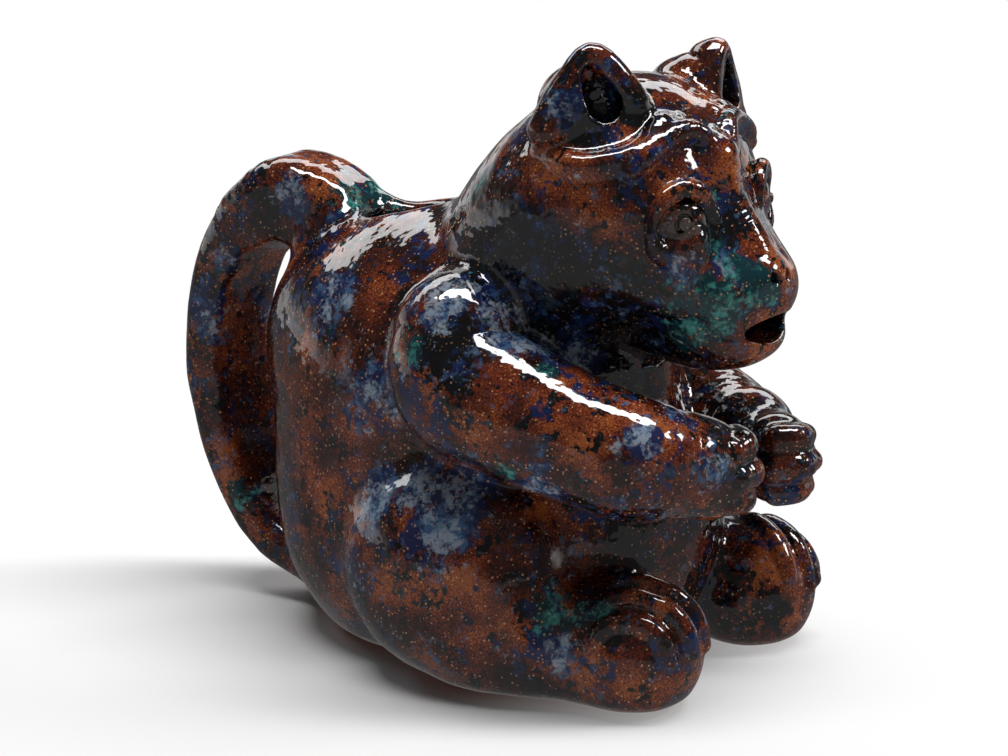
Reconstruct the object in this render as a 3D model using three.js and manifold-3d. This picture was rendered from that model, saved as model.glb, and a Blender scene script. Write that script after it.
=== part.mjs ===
// Seated bear jug in glazed stoneware, hand built from hollow bowls, lumps and rolled coils of clay.
// It is filled through a hole in the upper back, poured through the open mouth and held by its tail.
// Millimetres, +Z up. The bear faces -Y, its left side is +X, and the flat base is centred on the origin.

import * as THREE from 'three';
import { mergeVertices } from 'three/addons/utils/BufferGeometryUtils.js';
import Module from 'manifold-3d';

// Clay work
const CLAY_GAP = 0.3; // slip joint between two luted pieces
const WALL = 6; // wall of the hollow body and head
const BASE_THICKNESS = 8;

// Body, two bowls joined rim to rim at the waist
const BELLY_WIDTH = 104;
const BELLY_LENGTH = 123;
const BELLY_HEIGHT = 101;
const BELLY_CENTRE_HEIGHT = 35;
const BACK_WIDTH = 92;
const BACK_LENGTH = 124;
const BACK_HEIGHT = 84;
const BACK_RISE = 49; // centre of the back bowl above the belly's
const BACK_SET = 5; // and behind it
const WAIST_HEIGHT = 62; // seam between the two bowls
const WAIST_FILL = 3; // clay worked into the crease between the bowls
const LAP_INSET = 24; // by which the lap is narrower than the belly
const LAP_LENGTH = 80;
const LAP_HEIGHT = 76;
const LAP_REACH = 30; // swell of the lap in front of the belly's centre
const FILLER_WIDTH = 20;
const FILLER_LENGTH = 24;
const FILLER_LIFT = 71.5; // degrees above level, behind the back bowl's centre

// Head
const SKULL_WIDTH = 80;
const SKULL_LENGTH = 68;
const SKULL_HEIGHT = 70;
const SKULL_RISE = 47; // skull centre above the back bowl's
const SKULL_REACH = 53; // and in front of it
const HEAD_YAW = -5; // degrees, looking a little to its right
const HEAD_PIVOT = 0.8; // share of the way from the back bowl's centre to the skull's
const NECK_PLACE = 0.62; // share of that way
const NECK_WIDTH = 76;
const NECK_LENGTH = 68;
const NECK_HEIGHT = 77;
const NECK_LEAN = 30; // degrees
const NECK_BORE = 32;
const NAPE_PLACE = 0.83; // share of that way, for the clay worked in between neck and skull
const NAPE_WIDTH = 82;
const NAPE_LENGTH = 73;
const NAPE_HEIGHT = 92;
const NAPE_LEAN = 44.5; // degrees
const MUZZLE_WIDTH = 46;
const MUZZLE_LENGTH = 48;
const MUZZLE_HEIGHT = 33;
const MUZZLE_DROP = 19; // muzzle centre below the skull's
const MUZZLE_REACH = 27; // and in front of it
const JAW_WIDTH = 38;
const JAW_LENGTH = 42;
const JAW_HEIGHT = 22;
const JAW_DROP = 13; // jaw centre below the muzzle's
const MOUTH_WIDTH = 22;
const MOUTH_HEIGHT = 6.4;
const MOUTH_DROP = 9; // mouth below the muzzle's centre
const NOSE_STRIP_WIDTH = 11;
const NOSE_PAD_WIDTH = 15;
const NOSE_PAD_HEIGHT = 10.5;
const NOSE_PAD_SINK = 4; // pressed into the muzzle
const NOSE_PAD_LIFT = 20; // degrees above level on the muzzle
const NOSTRIL_WIDTH = 2.4;
const NOSTRIL_SPREAD = 6; // between the two holes
const NOSTRIL_DEPTH = 5;

// Ears, eyes and brows, set by angles from straight ahead and above level on the skull
const EAR_BASE = 31; // thickness of the ear where it leaves the skull
const EAR_TIP = 10;
const EAR_SINK = 5.5; // middle of the base below the skull's skin
const EAR_RISE = 16; // from there to the middle of the tip
const EAR_LEAN = 5; // tip in front of the base
const EAR_FRONT = 8; // rim in front of the base
const EAR_RIM_ROOT = 10; // thickness of the rim where it leaves the skull
const EAR_RIM_TOP = 7.6;
const EAR_SILL = 6; // thickness of the rim below the cup
const EAR_CUP_WIDTH = 10.5; // of the cup's broad lower end
const EAR_CUP_TIP = 4.6;
const EAR_CUP_REACH = 2; // middle of the cup in front of the rim's
const EYE_WIDTH = 15;
const EYE_HEIGHT = 10;
const EYE_THICKNESS = 8;
const EYE_SINK = 1;
const EYE_SIDE = 31;
const EYE_LIFT = 1.5;
const LID_THICKNESS = 3.6;
const BROW_THICKNESS = 7.2;

// Limbs
const SHOULDER_THICKNESS = 36;
const ELBOW_THICKNESS = 39;
const FOREARM_THICKNESS = 35;
const WRIST_THICKNESS = 29;
const WRIST_STANDOFF = 30; // wrist before the chest
const PAW_WIDTH = 23;
const PAW_HEIGHT = 26;
const DIGIT_THICKNESS = 9;
const DIGIT_WIDTH = 10.4;
const DIGIT_LENGTH = 10.8;
const DIGIT_SINK = 1.1;
const DIGIT_SIDE = 24; // degrees towards the other paw
const THIGH_WIDTH = 46;
const THIGH_LENGTH = 68;
const THIGH_HEIGHT = 66;
const THIGH_SINK = 9; // thigh centre below the belly's skin
const THIGH_SIDE = 72; // degrees from straight ahead on the belly
const THIGH_LIFT = -4.5; // degrees above level on the belly
const ANKLE_THICKNESS = 38;
const ANKLE_REACH = 14; // start of the ankle in front of the thigh's centre
const LEG_REACH = 54.5; // foot in front of the thigh's centre
const FOOT_TUCK = 7; // foot inward of the thigh's centre
const FOOT_WIDTH = 36;
const FOOT_LENGTH = 36;
const FOOT_HEIGHT = 44;
const FOOT_CENTRE_HEIGHT = 16;
const TOE_THICKNESS = 8;
const TOE_SINK = 1; // toe centreline below the foot's skin

// Tail handle, a strap with a flat inner face
const HANDLE_WIDTH = 27;
const HANDLE_THICKNESS = 15.6;
const HANDLE_INNER_EDGE = 3; // rounding of the strap's edges
const HANDLE_OUTER_EDGE = 7;
const HANDLE_ROOT_THICKNESS = 27; // where the tail springs from the back
const FINGER_ROOM = 17.5; // between the body and the strap

// Fineness of the faceting: an egg's rows from pole to pole, a coil's rings along and sides around
const LARGE_ROWS = 12;
const MIDDLE_ROWS = 8;
const PAW_ROWS = 6;
const SMALL_ROWS = 5;
const LIMB_COIL = { rings: 8, sides: 12 };
const STRIP_COIL = { rings: 8, sides: 10 };
const EAR_COIL = { rings: 4, sides: 14 };
const RIM_COIL = { rings: 9, sides: 10 };
const BORE_COIL = { rings: 4, sides: 16 };
const TOE_COIL = { rings: 6, sides: 8 };
const FACE_COIL = { rings: 6, sides: 6 };
const NOSTRIL_COIL = { rings: 2, sides: 8 };
const FILLER_SIDES = 20;
const STRAP_STEPS = 22;
const STRAP_CURVE_STEPS = 4;

// A coil rolled by hand is thinner at its ends
const ROLLED_TIP = 0.7; // share of its thickness
const TOE_TIP = 0.8;
const FOOT_TAPER = 0.95;
const STRIP_TOP = 1.2;
const STRIP_END = 0.9;

const SIDES = [['right', -1], ['left', 1]];
const BEHIND = 180; // degrees from straight ahead
const DEGREE = Math.PI / 180;
const wasm = await Module();
wasm.setup();

const vec = (x, y, z) => new THREE.Vector3(x, y, z);

// A closed three.js geometry as a solid that can be joined and cut.
function toSolid(geometry) {
  geometry.deleteAttribute('normal');
  geometry.deleteAttribute('uv');
  const merged = mergeVertices(geometry, 1e-4);
  const corners = merged.index.array;
  const whole = [];
  for (let i = 0; i < corners.length; i += 3) {
    const [a, b, c] = [corners[i], corners[i + 1], corners[i + 2]];
    if (a !== b && b !== c && c !== a) whole.push(a, b, c);
  }
  return new wasm.Manifold(new wasm.Mesh({
    numProp: 3,
    vertProperties: new Float32Array(merged.attributes.position.array),
    triVerts: new Uint32Array(whole),
  }));
}

// An egg of clay: a centre, three full sizes and a turn in degrees about X and Z.
function egg(centre, width, length, height, rows, lean = 0, turn = 0) {
  const radii = vec(width / 2, length / 2, height / 2);
  const geometry = (grow) => new THREE.SphereGeometry(1, 2 * rows, rows)
    .rotateX(Math.PI / 2)
    .scale(radii.x + grow, radii.y + grow, radii.z + grow)
    .rotateX(lean * DEGREE)
    .rotateZ(turn * DEGREE)
    .translate(centre.x, centre.y, centre.z);
  return { centre, radii, geometry };
}

// A point at an egg's skin, by angles from straight ahead (-Y) and above level, and proud of the skin.
function onSkin(shape, side, lift, proud = 0) {
  const level = Math.cos(lift * DEGREE);
  return vec(
    shape.centre.x + Math.sin(side * DEGREE) * level * (shape.radii.x + proud),
    shape.centre.y - Math.cos(side * DEGREE) * level * (shape.radii.y + proud),
    shape.centre.z + Math.sin(lift * DEGREE) * (shape.radii.z + proud),
  );
}

// A rolled coil with round ends: a turned profile that is bent along a curve through the points.
function coil(points, thicknesses, { rings, sides }) {
  const spine = new THREE.CatmullRomCurve3(points);
  const length = spine.getLength();
  const thickest = thicknesses.length - 1;
  const radiusAt = (share) => {
    const i = Math.min(Math.floor(share * thickest), thickest - 1);
    return THREE.MathUtils.lerp(thicknesses[i], thicknesses[i + 1], share * thickest - i) / 2;
  };
  const geometry = (grow) => {
    const capSteps = Math.max(2, Math.round(sides / 4));
    // A round end that carries on from the taper beside it
    const cap = (radius, beside) => {
      const taper = Math.max(0, Math.atan2(beside - radius, length / rings));
      return Array.from({ length: capSteps + 1 }, (_, i) => {
        const angle = THREE.MathUtils.lerp(taper, Math.PI / 2, i / capSteps);
        return new THREE.Vector2(Math.cos(angle), Math.sin(angle)).multiplyScalar(radius + grow);
      });
    };
    const start = cap(radiusAt(0), radiusAt(1 / rings)).reverse();
    const profile = start.map(({ x, y }) => new THREE.Vector2(x, -y));
    for (let i = 1; i < rings; i += 1) {
      profile.push(new THREE.Vector2(radiusAt(i / rings) + grow, (i / rings) * length));
    }
    const end = cap(radiusAt(1), radiusAt(1 - 1 / rings));
    profile.push(...end.map(({ x, y }) => new THREE.Vector2(x, length + y)));
    return bend(new THREE.LatheGeometry(profile, sides), spine, rings);
  };
  return { geometry };
}

// Carries a turned shape, which stands along +Y, over to a curve without twisting it.
function bend(geometry, spine, rings) {
  const length = spine.getLength();
  const { tangents, normals, binormals } = spine.computeFrenetFrames(rings);
  const position = geometry.attributes.position;
  for (let i = 0; i < position.count; i += 1) {
    const along = position.getY(i);
    const share = THREE.MathUtils.clamp(along / length, 0, 1);
    const ring = Math.round(share * rings);
    const point = spine.getPointAt(share)
      .addScaledVector(tangents[ring], along - share * length)
      .addScaledVector(binormals[ring], position.getX(i))
      .addScaledVector(normals[ring], position.getZ(i));
    position.setXYZ(i, point.x, point.y, point.z);
  }
  return geometry;
}

// A strap swept along a curve: flat with tight edges on the inside of the bend, rounded on the outside.
function strap(points, { width, thickness, innerEdge, outerEdge, steps }) {
  const spine = new THREE.CatmullRomCurve3(points);
  const geometry = (grow) => {
    const half = width / 2 + grow;
    const inner = -thickness / 2 - grow;
    const outer = thickness / 2 + grow;
    const section = new THREE.Shape();
    section.moveTo(-half + innerEdge, inner);
    section.lineTo(half - innerEdge, inner);
    section.quadraticCurveTo(half, inner, half, inner + innerEdge);
    section.lineTo(half, outer - outerEdge);
    section.quadraticCurveTo(half, outer, half - outerEdge, outer);
    section.lineTo(-half + outerEdge, outer);
    section.quadraticCurveTo(-half, outer, -half, outer - outerEdge);
    section.lineTo(-half, inner + innerEdge);
    section.quadraticCurveTo(-half, inner, -half + innerEdge, inner);
    const options = { steps, extrudePath: spine, bevelEnabled: false, curveSegments: STRAP_CURVE_STEPS };
    return new THREE.ExtrudeGeometry(section, options);
  };
  return { geometry };
}

// A block from one corner to the other, for plane cuts.
function block(low, high) {
  const size = high.clone().sub(low);
  const middle = low.clone().add(high).multiplyScalar(0.5);
  const geometry = (grow) => new THREE.BoxGeometry(size.x + 2 * grow, size.y + 2 * grow, size.z + 2 * grow)
    .translate(middle.x, middle.y, middle.z);
  return { geometry };
}

// The shapes that make one lump, in a group's frame.
// It can be grown by an even skin and seen from another group.
class Lump {
  constructor(group, shapes) {
    this.group = group;
    this.shapes = shapes;
  }

  solid(grow = 0, seenFrom = this.group) {
    const carry = seenFrom.matrixWorld.clone().invert().multiply(this.group.matrixWorld);
    return this.shapes
      .map((shape) => toSolid(shape.geometry(grow).applyMatrix4(carry)))
      .reduce((whole, next) => whole.add(next));
  }

  // The lump as it is left once its neighbours have been pressed into it.
  fitted(neighbours) {
    return neighbours.reduce(
      (rest, next) => rest.subtract(next.solid(CLAY_GAP, this.group)),
      this.solid(),
    );
  }
}

const bear = new THREE.Group();
const head = new THREE.Group();
bear.add(head);

// One named piece of the bear with its glaze.
function place(group, name, solid, glaze) {
  const { numProp, vertProperties, triVerts } = solid.getMesh();
  const geometry = new THREE.BufferGeometry();
  geometry.setAttribute('position', new THREE.BufferAttribute(new Float32Array(vertProperties), numProp));
  geometry.setIndex(new THREE.BufferAttribute(new Uint32Array(triVerts), 1));
  geometry.computeVertexNormals();
  const piece = new THREE.Mesh(geometry, new THREE.MeshStandardMaterial(glaze));
  piece.name = name;
  group.add(piece);
}

const RUST_GLAZE = { color: 0x5a2f20, roughness: 0.14, metalness: 0 };
const DARK_GLAZE = { color: 0x2b2624, roughness: 0.12, metalness: 0 };
const BLUE_GLAZE = { color: 0x232a3f, roughness: 0.12, metalness: 0 };
const TEAL_GLAZE = { color: 0x1f5350, roughness: 0.12, metalness: 0 };

// Body
const belly = egg(vec(0, 0, BELLY_CENTRE_HEIGHT), BELLY_WIDTH, BELLY_LENGTH, BELLY_HEIGHT, LARGE_ROWS);
const backCentre = belly.centre.clone().add(vec(0, BACK_SET, BACK_RISE));
const back = egg(backCentre, BACK_WIDTH, BACK_LENGTH, BACK_HEIGHT, LARGE_ROWS);
const waist = egg(
  belly.centre.clone().lerp(backCentre, 0.5),
  (BELLY_WIDTH + BACK_WIDTH) / 2 + WAIST_FILL,
  (BELLY_LENGTH + BACK_LENGTH) / 2 + WAIST_FILL,
  (BELLY_HEIGHT + BACK_HEIGHT) / 2,
  LARGE_ROWS,
);
const lapCentre = belly.centre.clone().add(vec(0, -LAP_REACH, 0));
const lap = egg(lapCentre, BELLY_WIDTH - LAP_INSET, LAP_LENGTH, LAP_HEIGHT, LARGE_ROWS);
const body = new Lump(bear, [belly, waist, back, lap]);
const skullCentre = backCentre.clone().add(vec(0, -SKULL_REACH, SKULL_RISE));

const reach = 2 * (BELLY_LENGTH + BACK_LENGTH + BELLY_HEIGHT + BACK_HEIGHT);
const table = new Lump(bear, [block(vec(-reach, -reach, -reach), vec(reach, reach, 0))]);
const aboveFloor = new Lump(bear, [block(vec(-reach, -reach, BASE_THICKNESS), vec(reach, reach, reach))]);
const lowerHalf = new Lump(bear, [block(vec(-reach, -reach, -reach), vec(reach, reach, WAIST_HEIGHT))]);
const fillerCentre = onSkin(back, BEHIND, FILLER_LIFT);
const filler = new Lump(bear, [{
  geometry: () => new THREE.CylinderGeometry(1, 1, BACK_HEIGHT, FILLER_SIDES)
    .rotateX(Math.PI / 2)
    .scale(FILLER_WIDTH / 2, FILLER_LENGTH / 2, 1)
    .translate(fillerCentre.x, fillerCentre.y, fillerCentre.z),
}]);
const neckPassage = new Lump(bear, [coil([backCentre, skullCentre], [NECK_BORE, NECK_BORE], BORE_COIL)]);
const bodyHollow = body.solid(-WALL).intersect(aboveFloor.solid());
const bodyWall = body.solid().subtract(table.solid()).subtract(bodyHollow);

place(bear, 'belly_bowl', bodyWall.intersect(lowerHalf.solid()), RUST_GLAZE);
place(bear, 'back_bowl', bodyWall
  .subtract(lowerHalf.solid(CLAY_GAP))
  .subtract(filler.solid())
  .subtract(neckPassage.solid()), RUST_GLAZE);

// Head, in a group that turns about the middle of the neck
head.position.copy(backCentre.clone().lerp(skullCentre, HEAD_PIVOT));
head.rotation.z = HEAD_YAW * DEGREE;
bear.updateMatrixWorld(true);
const neckCentre = backCentre.clone().lerp(skullCentre, NECK_PLACE);
const skull = egg(
  skullCentre.clone().sub(head.position), SKULL_WIDTH, SKULL_LENGTH, SKULL_HEIGHT, LARGE_ROWS,
);
const neck = egg(
  neckCentre.clone().sub(head.position), NECK_WIDTH, NECK_LENGTH, NECK_HEIGHT, LARGE_ROWS, NECK_LEAN,
);
const napeCentre = backCentre.clone().lerp(skullCentre, NAPE_PLACE);
const nape = egg(
  napeCentre.clone().sub(head.position), NAPE_WIDTH, NAPE_LENGTH, NAPE_HEIGHT, LARGE_ROWS, NAPE_LEAN,
);
const cranium = new Lump(head, [skull, neck, nape]);
const muzzleCentre = skull.centre.clone().add(vec(0, -MUZZLE_REACH, -MUZZLE_DROP));
const jawCentre = muzzleCentre.clone().add(vec(0, 0, -JAW_DROP));
const mouthCentre = muzzleCentre.clone().add(vec(0, 0, -MOUTH_DROP));
const mouthChannel = new Lump(head, [
  egg(mouthCentre, MOUTH_WIDTH, MUZZLE_LENGTH + JAW_LENGTH + WALL, MOUTH_HEIGHT, MIDDLE_ROWS),
]);
const muzzleEgg = egg(muzzleCentre, MUZZLE_WIDTH, MUZZLE_LENGTH, MUZZLE_HEIGHT, MIDDLE_ROWS);
const muzzle = new Lump(head, [muzzleEgg]);
const jaw = new Lump(head, [egg(jawCentre, JAW_WIDTH, JAW_LENGTH, JAW_HEIGHT, MIDDLE_ROWS)]);

place(head, 'head_shell', cranium.fitted([body])
  .subtract(cranium.solid(-WALL))
  .subtract(mouthChannel.solid()), RUST_GLAZE);
place(head, 'muzzle', muzzle.fitted([cranium, body]).subtract(mouthChannel.solid()), TEAL_GLAZE);
place(head, 'lower_jaw', jaw.fitted([cranium, muzzle, body]).subtract(mouthChannel.solid()), DARK_GLAZE);

// Nose pad with its two nostrils, and the raised strip that runs from the brow over the bridge to it
const STRIP_SKULL_LIFTS = [27, 3]; // degrees above level down the skull
const STRIP_MUZZLE_LIFT = 62; // degrees above level on the muzzle
const nosePadCentre = onSkin(muzzleEgg, 0, NOSE_PAD_LIFT, -NOSE_PAD_SINK);
const nosePad = new Lump(head, [
  egg(nosePadCentre, NOSE_PAD_WIDTH, NOSE_PAD_HEIGHT, NOSE_PAD_HEIGHT, SMALL_ROWS),
]);
const nostrils = SIDES.map(([, sign]) => {
  const mouthOfHole = nosePadCentre.clone().add(vec(sign * NOSTRIL_SPREAD / 2, -NOSE_PAD_WIDTH / 2, 0));
  const endOfHole = mouthOfHole.clone().add(vec(0, NOSTRIL_DEPTH, NOSTRIL_WIDTH / 2));
  return new Lump(head, [coil([mouthOfHole, endOfHole], [NOSTRIL_WIDTH, NOSTRIL_WIDTH], NOSTRIL_COIL)]);
});
place(head, 'nose_pad', nostrils.reduce(
  (pad, hole) => pad.subtract(hole.solid()),
  nosePad.fitted([cranium, muzzle]),
), DARK_GLAZE);
const noseStrip = new Lump(head, [coil(
  [
    ...STRIP_SKULL_LIFTS.map((lift) => onSkin(skull, 0, lift)),
    onSkin(muzzleEgg, 0, STRIP_MUZZLE_LIFT),
    nosePadCentre,
  ],
  [NOSE_STRIP_WIDTH * STRIP_TOP, NOSE_STRIP_WIDTH, NOSE_STRIP_WIDTH * STRIP_END],
  STRIP_COIL,
)]);
place(head, 'nose_strip', noseStrip.fitted([cranium, muzzle, nosePad]), RUST_GLAZE);

// Ears, pinched cones with a rolled rim round a cup that opens forward and outward.
// Each stands at degrees on the skull, turns outward by degrees and has a share of the rim's full breadth.
const EAR_POSE = {
  right: { side: 96, lift: 57, turn: 45, breadth: 1 },
  left: { side: 82, lift: 44, turn: 10, breadth: 0.8 },
};
// Points before the ear's base, in millimetres towards the nose and up
const EAR_RIM = [[-12.6, -1], [-8.8, 7.4], [-0.8, 18.7], [7.4, 11.1], [11, 4.3], [9, -1.1]];
const EAR_LOWER_RIM = [[-11.5, -1], [-1, 0], [9, -1.1]];
const EAR_CUP = [[1.9, 5.9], [-1.4, 13.7]];
const ears = {};
for (const [name, sign] of SIDES) {
  const pose = EAR_POSE[name];
  const turn = sign * pose.turn * DEGREE;
  const facing = vec(Math.sin(turn), -Math.cos(turn), 0);
  const toNose = vec(-sign * Math.cos(turn), -sign * Math.sin(turn), 0);
  const earBase = onSkin(skull, sign * pose.side, pose.lift, -EAR_SINK);
  const earTip = earBase.clone().addScaledVector(facing, EAR_LEAN).add(vec(0, 0, EAR_RISE));
  const before = (route, reachForward) => route.map(([across, up]) => earBase.clone()
    .addScaledVector(facing, reachForward)
    .addScaledVector(toNose, across * pose.breadth)
    .add(vec(0, 0, up)));
  const ear = new Lump(head, [
    coil([earBase, earTip], [EAR_BASE, EAR_TIP], EAR_COIL),
    coil(before(EAR_RIM, EAR_FRONT), [EAR_RIM_ROOT, EAR_RIM_TOP, EAR_RIM_ROOT], RIM_COIL),
    coil(before(EAR_LOWER_RIM, EAR_FRONT + EAR_CUP_REACH), [EAR_SILL, EAR_SILL], EAR_COIL),
  ]);
  const cup = new Lump(head, [
    coil(before(EAR_CUP, EAR_FRONT + EAR_CUP_REACH), [EAR_CUP_WIDTH, EAR_CUP_TIP], EAR_COIL),
  ]);
  ears[name] = ear;
  place(head, `${name}_ear`, ear.fitted([cranium]).subtract(cup.solid()), DARK_GLAZE);
}

// Eyes with rolled lids above and below, and a brow coil over each
const UPPER_LID = [[-0.52, 0.38], [-0.3, 0.82], [0.08, 1], [0.45, 0.75], [0.66, 0.2]];
const LOWER_LID = [[-0.54, -0.2], [-0.3, -0.62], [0.08, -0.7], [0.42, -0.45]];
const BROW = [[-0.96, 1.4], [-0.57, 1.8], [0.3, 2.3], [0.88, 2.15], [1.2, 1.6]];
for (const [name, sign] of SIDES) {
  // Points round the eye, in eye widths outward and eye heights upward, laid on the skull
  const aroundEye = (route, proud) => route.map(([out, up]) => onSkin(
    skull,
    sign * (EYE_SIDE - out * (EYE_WIDTH / skull.radii.x) / DEGREE),
    EYE_LIFT + up * (EYE_HEIGHT / skull.radii.z) / DEGREE,
    proud,
  ));
  const eyeCentre = onSkin(skull, sign * EYE_SIDE, EYE_LIFT, -EYE_SINK);
  const eye = new Lump(head, [
    egg(eyeCentre, EYE_WIDTH, EYE_THICKNESS, EYE_HEIGHT, SMALL_ROWS, 0, sign * EYE_SIDE),
  ]);
  const rolled = (route, thickness, proud) => new Lump(head, [coil(
    aroundEye(route, proud),
    [thickness * ROLLED_TIP, thickness, thickness * ROLLED_TIP],
    FACE_COIL,
  )]);
  const upperLid = rolled(UPPER_LID, LID_THICKNESS, LID_THICKNESS / 4);
  const lowerLid = rolled(LOWER_LID, LID_THICKNESS, LID_THICKNESS / 4);
  const brow = rolled(BROW, BROW_THICKNESS, 0);
  place(head, `${name}_eye`, eye.fitted([cranium]), DARK_GLAZE);
  place(head, `${name}_upper_lid`, upperLid.fitted([cranium, eye, noseStrip, muzzle]), RUST_GLAZE);
  place(head, `${name}_lower_lid`, lowerLid.fitted([cranium, eye, noseStrip, muzzle, upperLid]), RUST_GLAZE);
  place(head, `${name}_brow`, brow.fitted([cranium, eye, noseStrip, upperLid, ears[name]]), RUST_GLAZE);
}

// Hind legs: thighs pressed on the belly, feet in front with the soles upright and three rolled toes
const TOE_SIDES = [22, -2, -26]; // degrees outward across the top of the foot
// Degrees from the sole over the top of the foot, and further outward
const TOE_ROUTE = [[120, 34], [85, 17], [60, 6], [42, -2], [25, -5], [8, -7]];
const thighs = {};
for (const [name, sign] of SIDES) {
  const thighCentre = onSkin(belly, sign * THIGH_SIDE, THIGH_LIFT, -THIGH_SINK);
  const thigh = new Lump(bear, [egg(thighCentre, THIGH_WIDTH, THIGH_LENGTH, THIGH_HEIGHT, MIDDLE_ROWS)]);
  thighs[name] = thigh;
  const footCentre = vec(thighCentre.x - sign * FOOT_TUCK, thighCentre.y - LEG_REACH, FOOT_CENTRE_HEIGHT);
  const ankleStart = vec(thighCentre.x, thighCentre.y - ANKLE_REACH, FOOT_CENTRE_HEIGHT);
  const footEgg = egg(footCentre, FOOT_WIDTH, FOOT_LENGTH, FOOT_HEIGHT, MIDDLE_ROWS);
  const foot = new Lump(bear, [
    footEgg,
    coil([ankleStart, footCentre], [ANKLE_THICKNESS, FOOT_WIDTH * FOOT_TAPER], BORE_COIL),
  ]);
  place(bear, `${name}_thigh`, thigh.fitted([body]).subtract(table.solid()), BLUE_GLAZE);
  place(bear, `${name}_foot`, foot.fitted([body, thigh]).subtract(table.solid()), RUST_GLAZE);
  const bed = footEgg.radii.clone().subScalar(TOE_SINK);
  const toes = TOE_SIDES.map((outward) => new Lump(bear, [coil(
    TOE_ROUTE.map(([over, further]) => {
      const across = sign * (outward + further) * DEGREE;
      return vec(
        footCentre.x + Math.sin(across) * bed.x,
        footCentre.y - Math.cos(across) * Math.cos(over * DEGREE) * bed.y,
        footCentre.z + Math.cos(across) * Math.sin(over * DEGREE) * bed.z,
      );
    }),
    [TOE_THICKNESS * TOE_TIP, TOE_THICKNESS, TOE_THICKNESS * TOE_TIP],
    TOE_COIL,
  )]));
  toes.forEach((toe, i) => {
    place(bear, `${name}_toe_${i + 1}`, toe.fitted([foot, thigh, ...toes.slice(0, i)]), DARK_GLAZE);
  });
}

// Arms, coils from the shoulder to the wrist, with paws of three digits held before the chest.
// Each point has degrees from straight ahead and above level on the back bowl,
// and a share of the wrist's standoff.
const ARM_ROUTE = {
  right: [[68, 18, 0.01], [64, 1, 0.17], [35, -11, 0.83], [22, -14, 1]],
  left: [[78, 14, -0.1], [64, -12, 0.08], [38, -22, 0.55], [24, -20, 0.85]],
};
const ARM_THICKNESSES = [SHOULDER_THICKNESS, ELBOW_THICKNESS, FOREARM_THICKNESS, WRIST_THICKNESS];
const PAW_POSE = { right: [14.5, -16, 1.1], left: [13, -19, 1.2] };
const DIGIT_LIFTS = [40, 0, -40];
for (const [name, sign] of SIDES) {
  const beforeChest = ([side, lift, share]) => onSkin(back, sign * side, lift, share * WRIST_STANDOFF);
  const arm = new Lump(bear, [coil(ARM_ROUTE[name].map(beforeChest), ARM_THICKNESSES, LIMB_COIL)]);
  const pawEgg = egg(beforeChest(PAW_POSE[name]), PAW_WIDTH, PAW_WIDTH, PAW_HEIGHT, PAW_ROWS);
  const paw = new Lump(bear, [pawEgg]);
  place(bear, `${name}_arm`, arm.fitted([body, cranium, thighs[name]]), RUST_GLAZE);
  place(bear, `${name}_paw`, paw.fitted([body, arm]), BLUE_GLAZE);
  const digits = DIGIT_LIFTS.map((lift) => {
    const digitCentre = onSkin(pawEgg, -sign * DIGIT_SIDE, lift, -DIGIT_SINK);
    return new Lump(bear, [egg(digitCentre, DIGIT_WIDTH, DIGIT_LENGTH, DIGIT_THICKNESS, SMALL_ROWS)]);
  });
  digits.forEach((digit, i) => {
    place(bear, `${name}_digit_${i + 1}`, digit.fitted([paw, arm, ...digits.slice(0, i)]), DARK_GLAZE);
  });
}

// Tail handle, by degrees above level behind each bowl and shares of the strap's standoff
const standoff = FINGER_ROOM + HANDLE_THICKNESS / 2;
const HANDLE_ROUTE = [
  [back, 43.5, -0.49], [back, 45.5, 0.16], [back, 40.5, 0.55], [back, 30.5, 0.75], [back, 20, 0.86],
  [back, 5, 0.92], [back, -9.5, 1.03], [belly, 15, 1.25], [belly, 4, 0.94], [belly, -6, 0.7],
  [belly, -16, 0.4], [belly, -30, -0.05],
];
const ROOT_POINTS = 5; // points of the route along which the tail is thick
const handleLine = HANDLE_ROUTE.map(([bowl, lift, share]) => onSkin(bowl, BEHIND, lift, share * standoff));
const handle = new Lump(bear, [
  strap(handleLine, {
    width: HANDLE_WIDTH,
    thickness: HANDLE_THICKNESS,
    innerEdge: HANDLE_INNER_EDGE,
    outerEdge: HANDLE_OUTER_EDGE,
    steps: STRAP_STEPS,
  }),
  coil(
    handleLine.slice(0, ROOT_POINTS),
    [HANDLE_ROOT_THICKNESS, HANDLE_ROOT_THICKNESS, HANDLE_ROOT_THICKNESS, HANDLE_THICKNESS],
    LIMB_COIL,
  ),
]);
const tail = handle.fitted([body, thighs.right, thighs.left]).subtract(table.solid());
place(bear, 'tail_handle', tail, RUST_GLAZE);

export default bear;
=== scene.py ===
"""Looks of the bear jug: hand-built stoneware under a glossy mottled glaze, on a plain white floor.

The jug is worked up as clay is: lumps and coils are pressed on to two hollow bowls, and the joins are
smoothed over. Each form is a distance field in millimetres. The fields are blended where the clay was worked
together, and every named piece of the part is then skinned by itself, so that the pieces meet in one
continuous glazed surface.
"""

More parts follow.
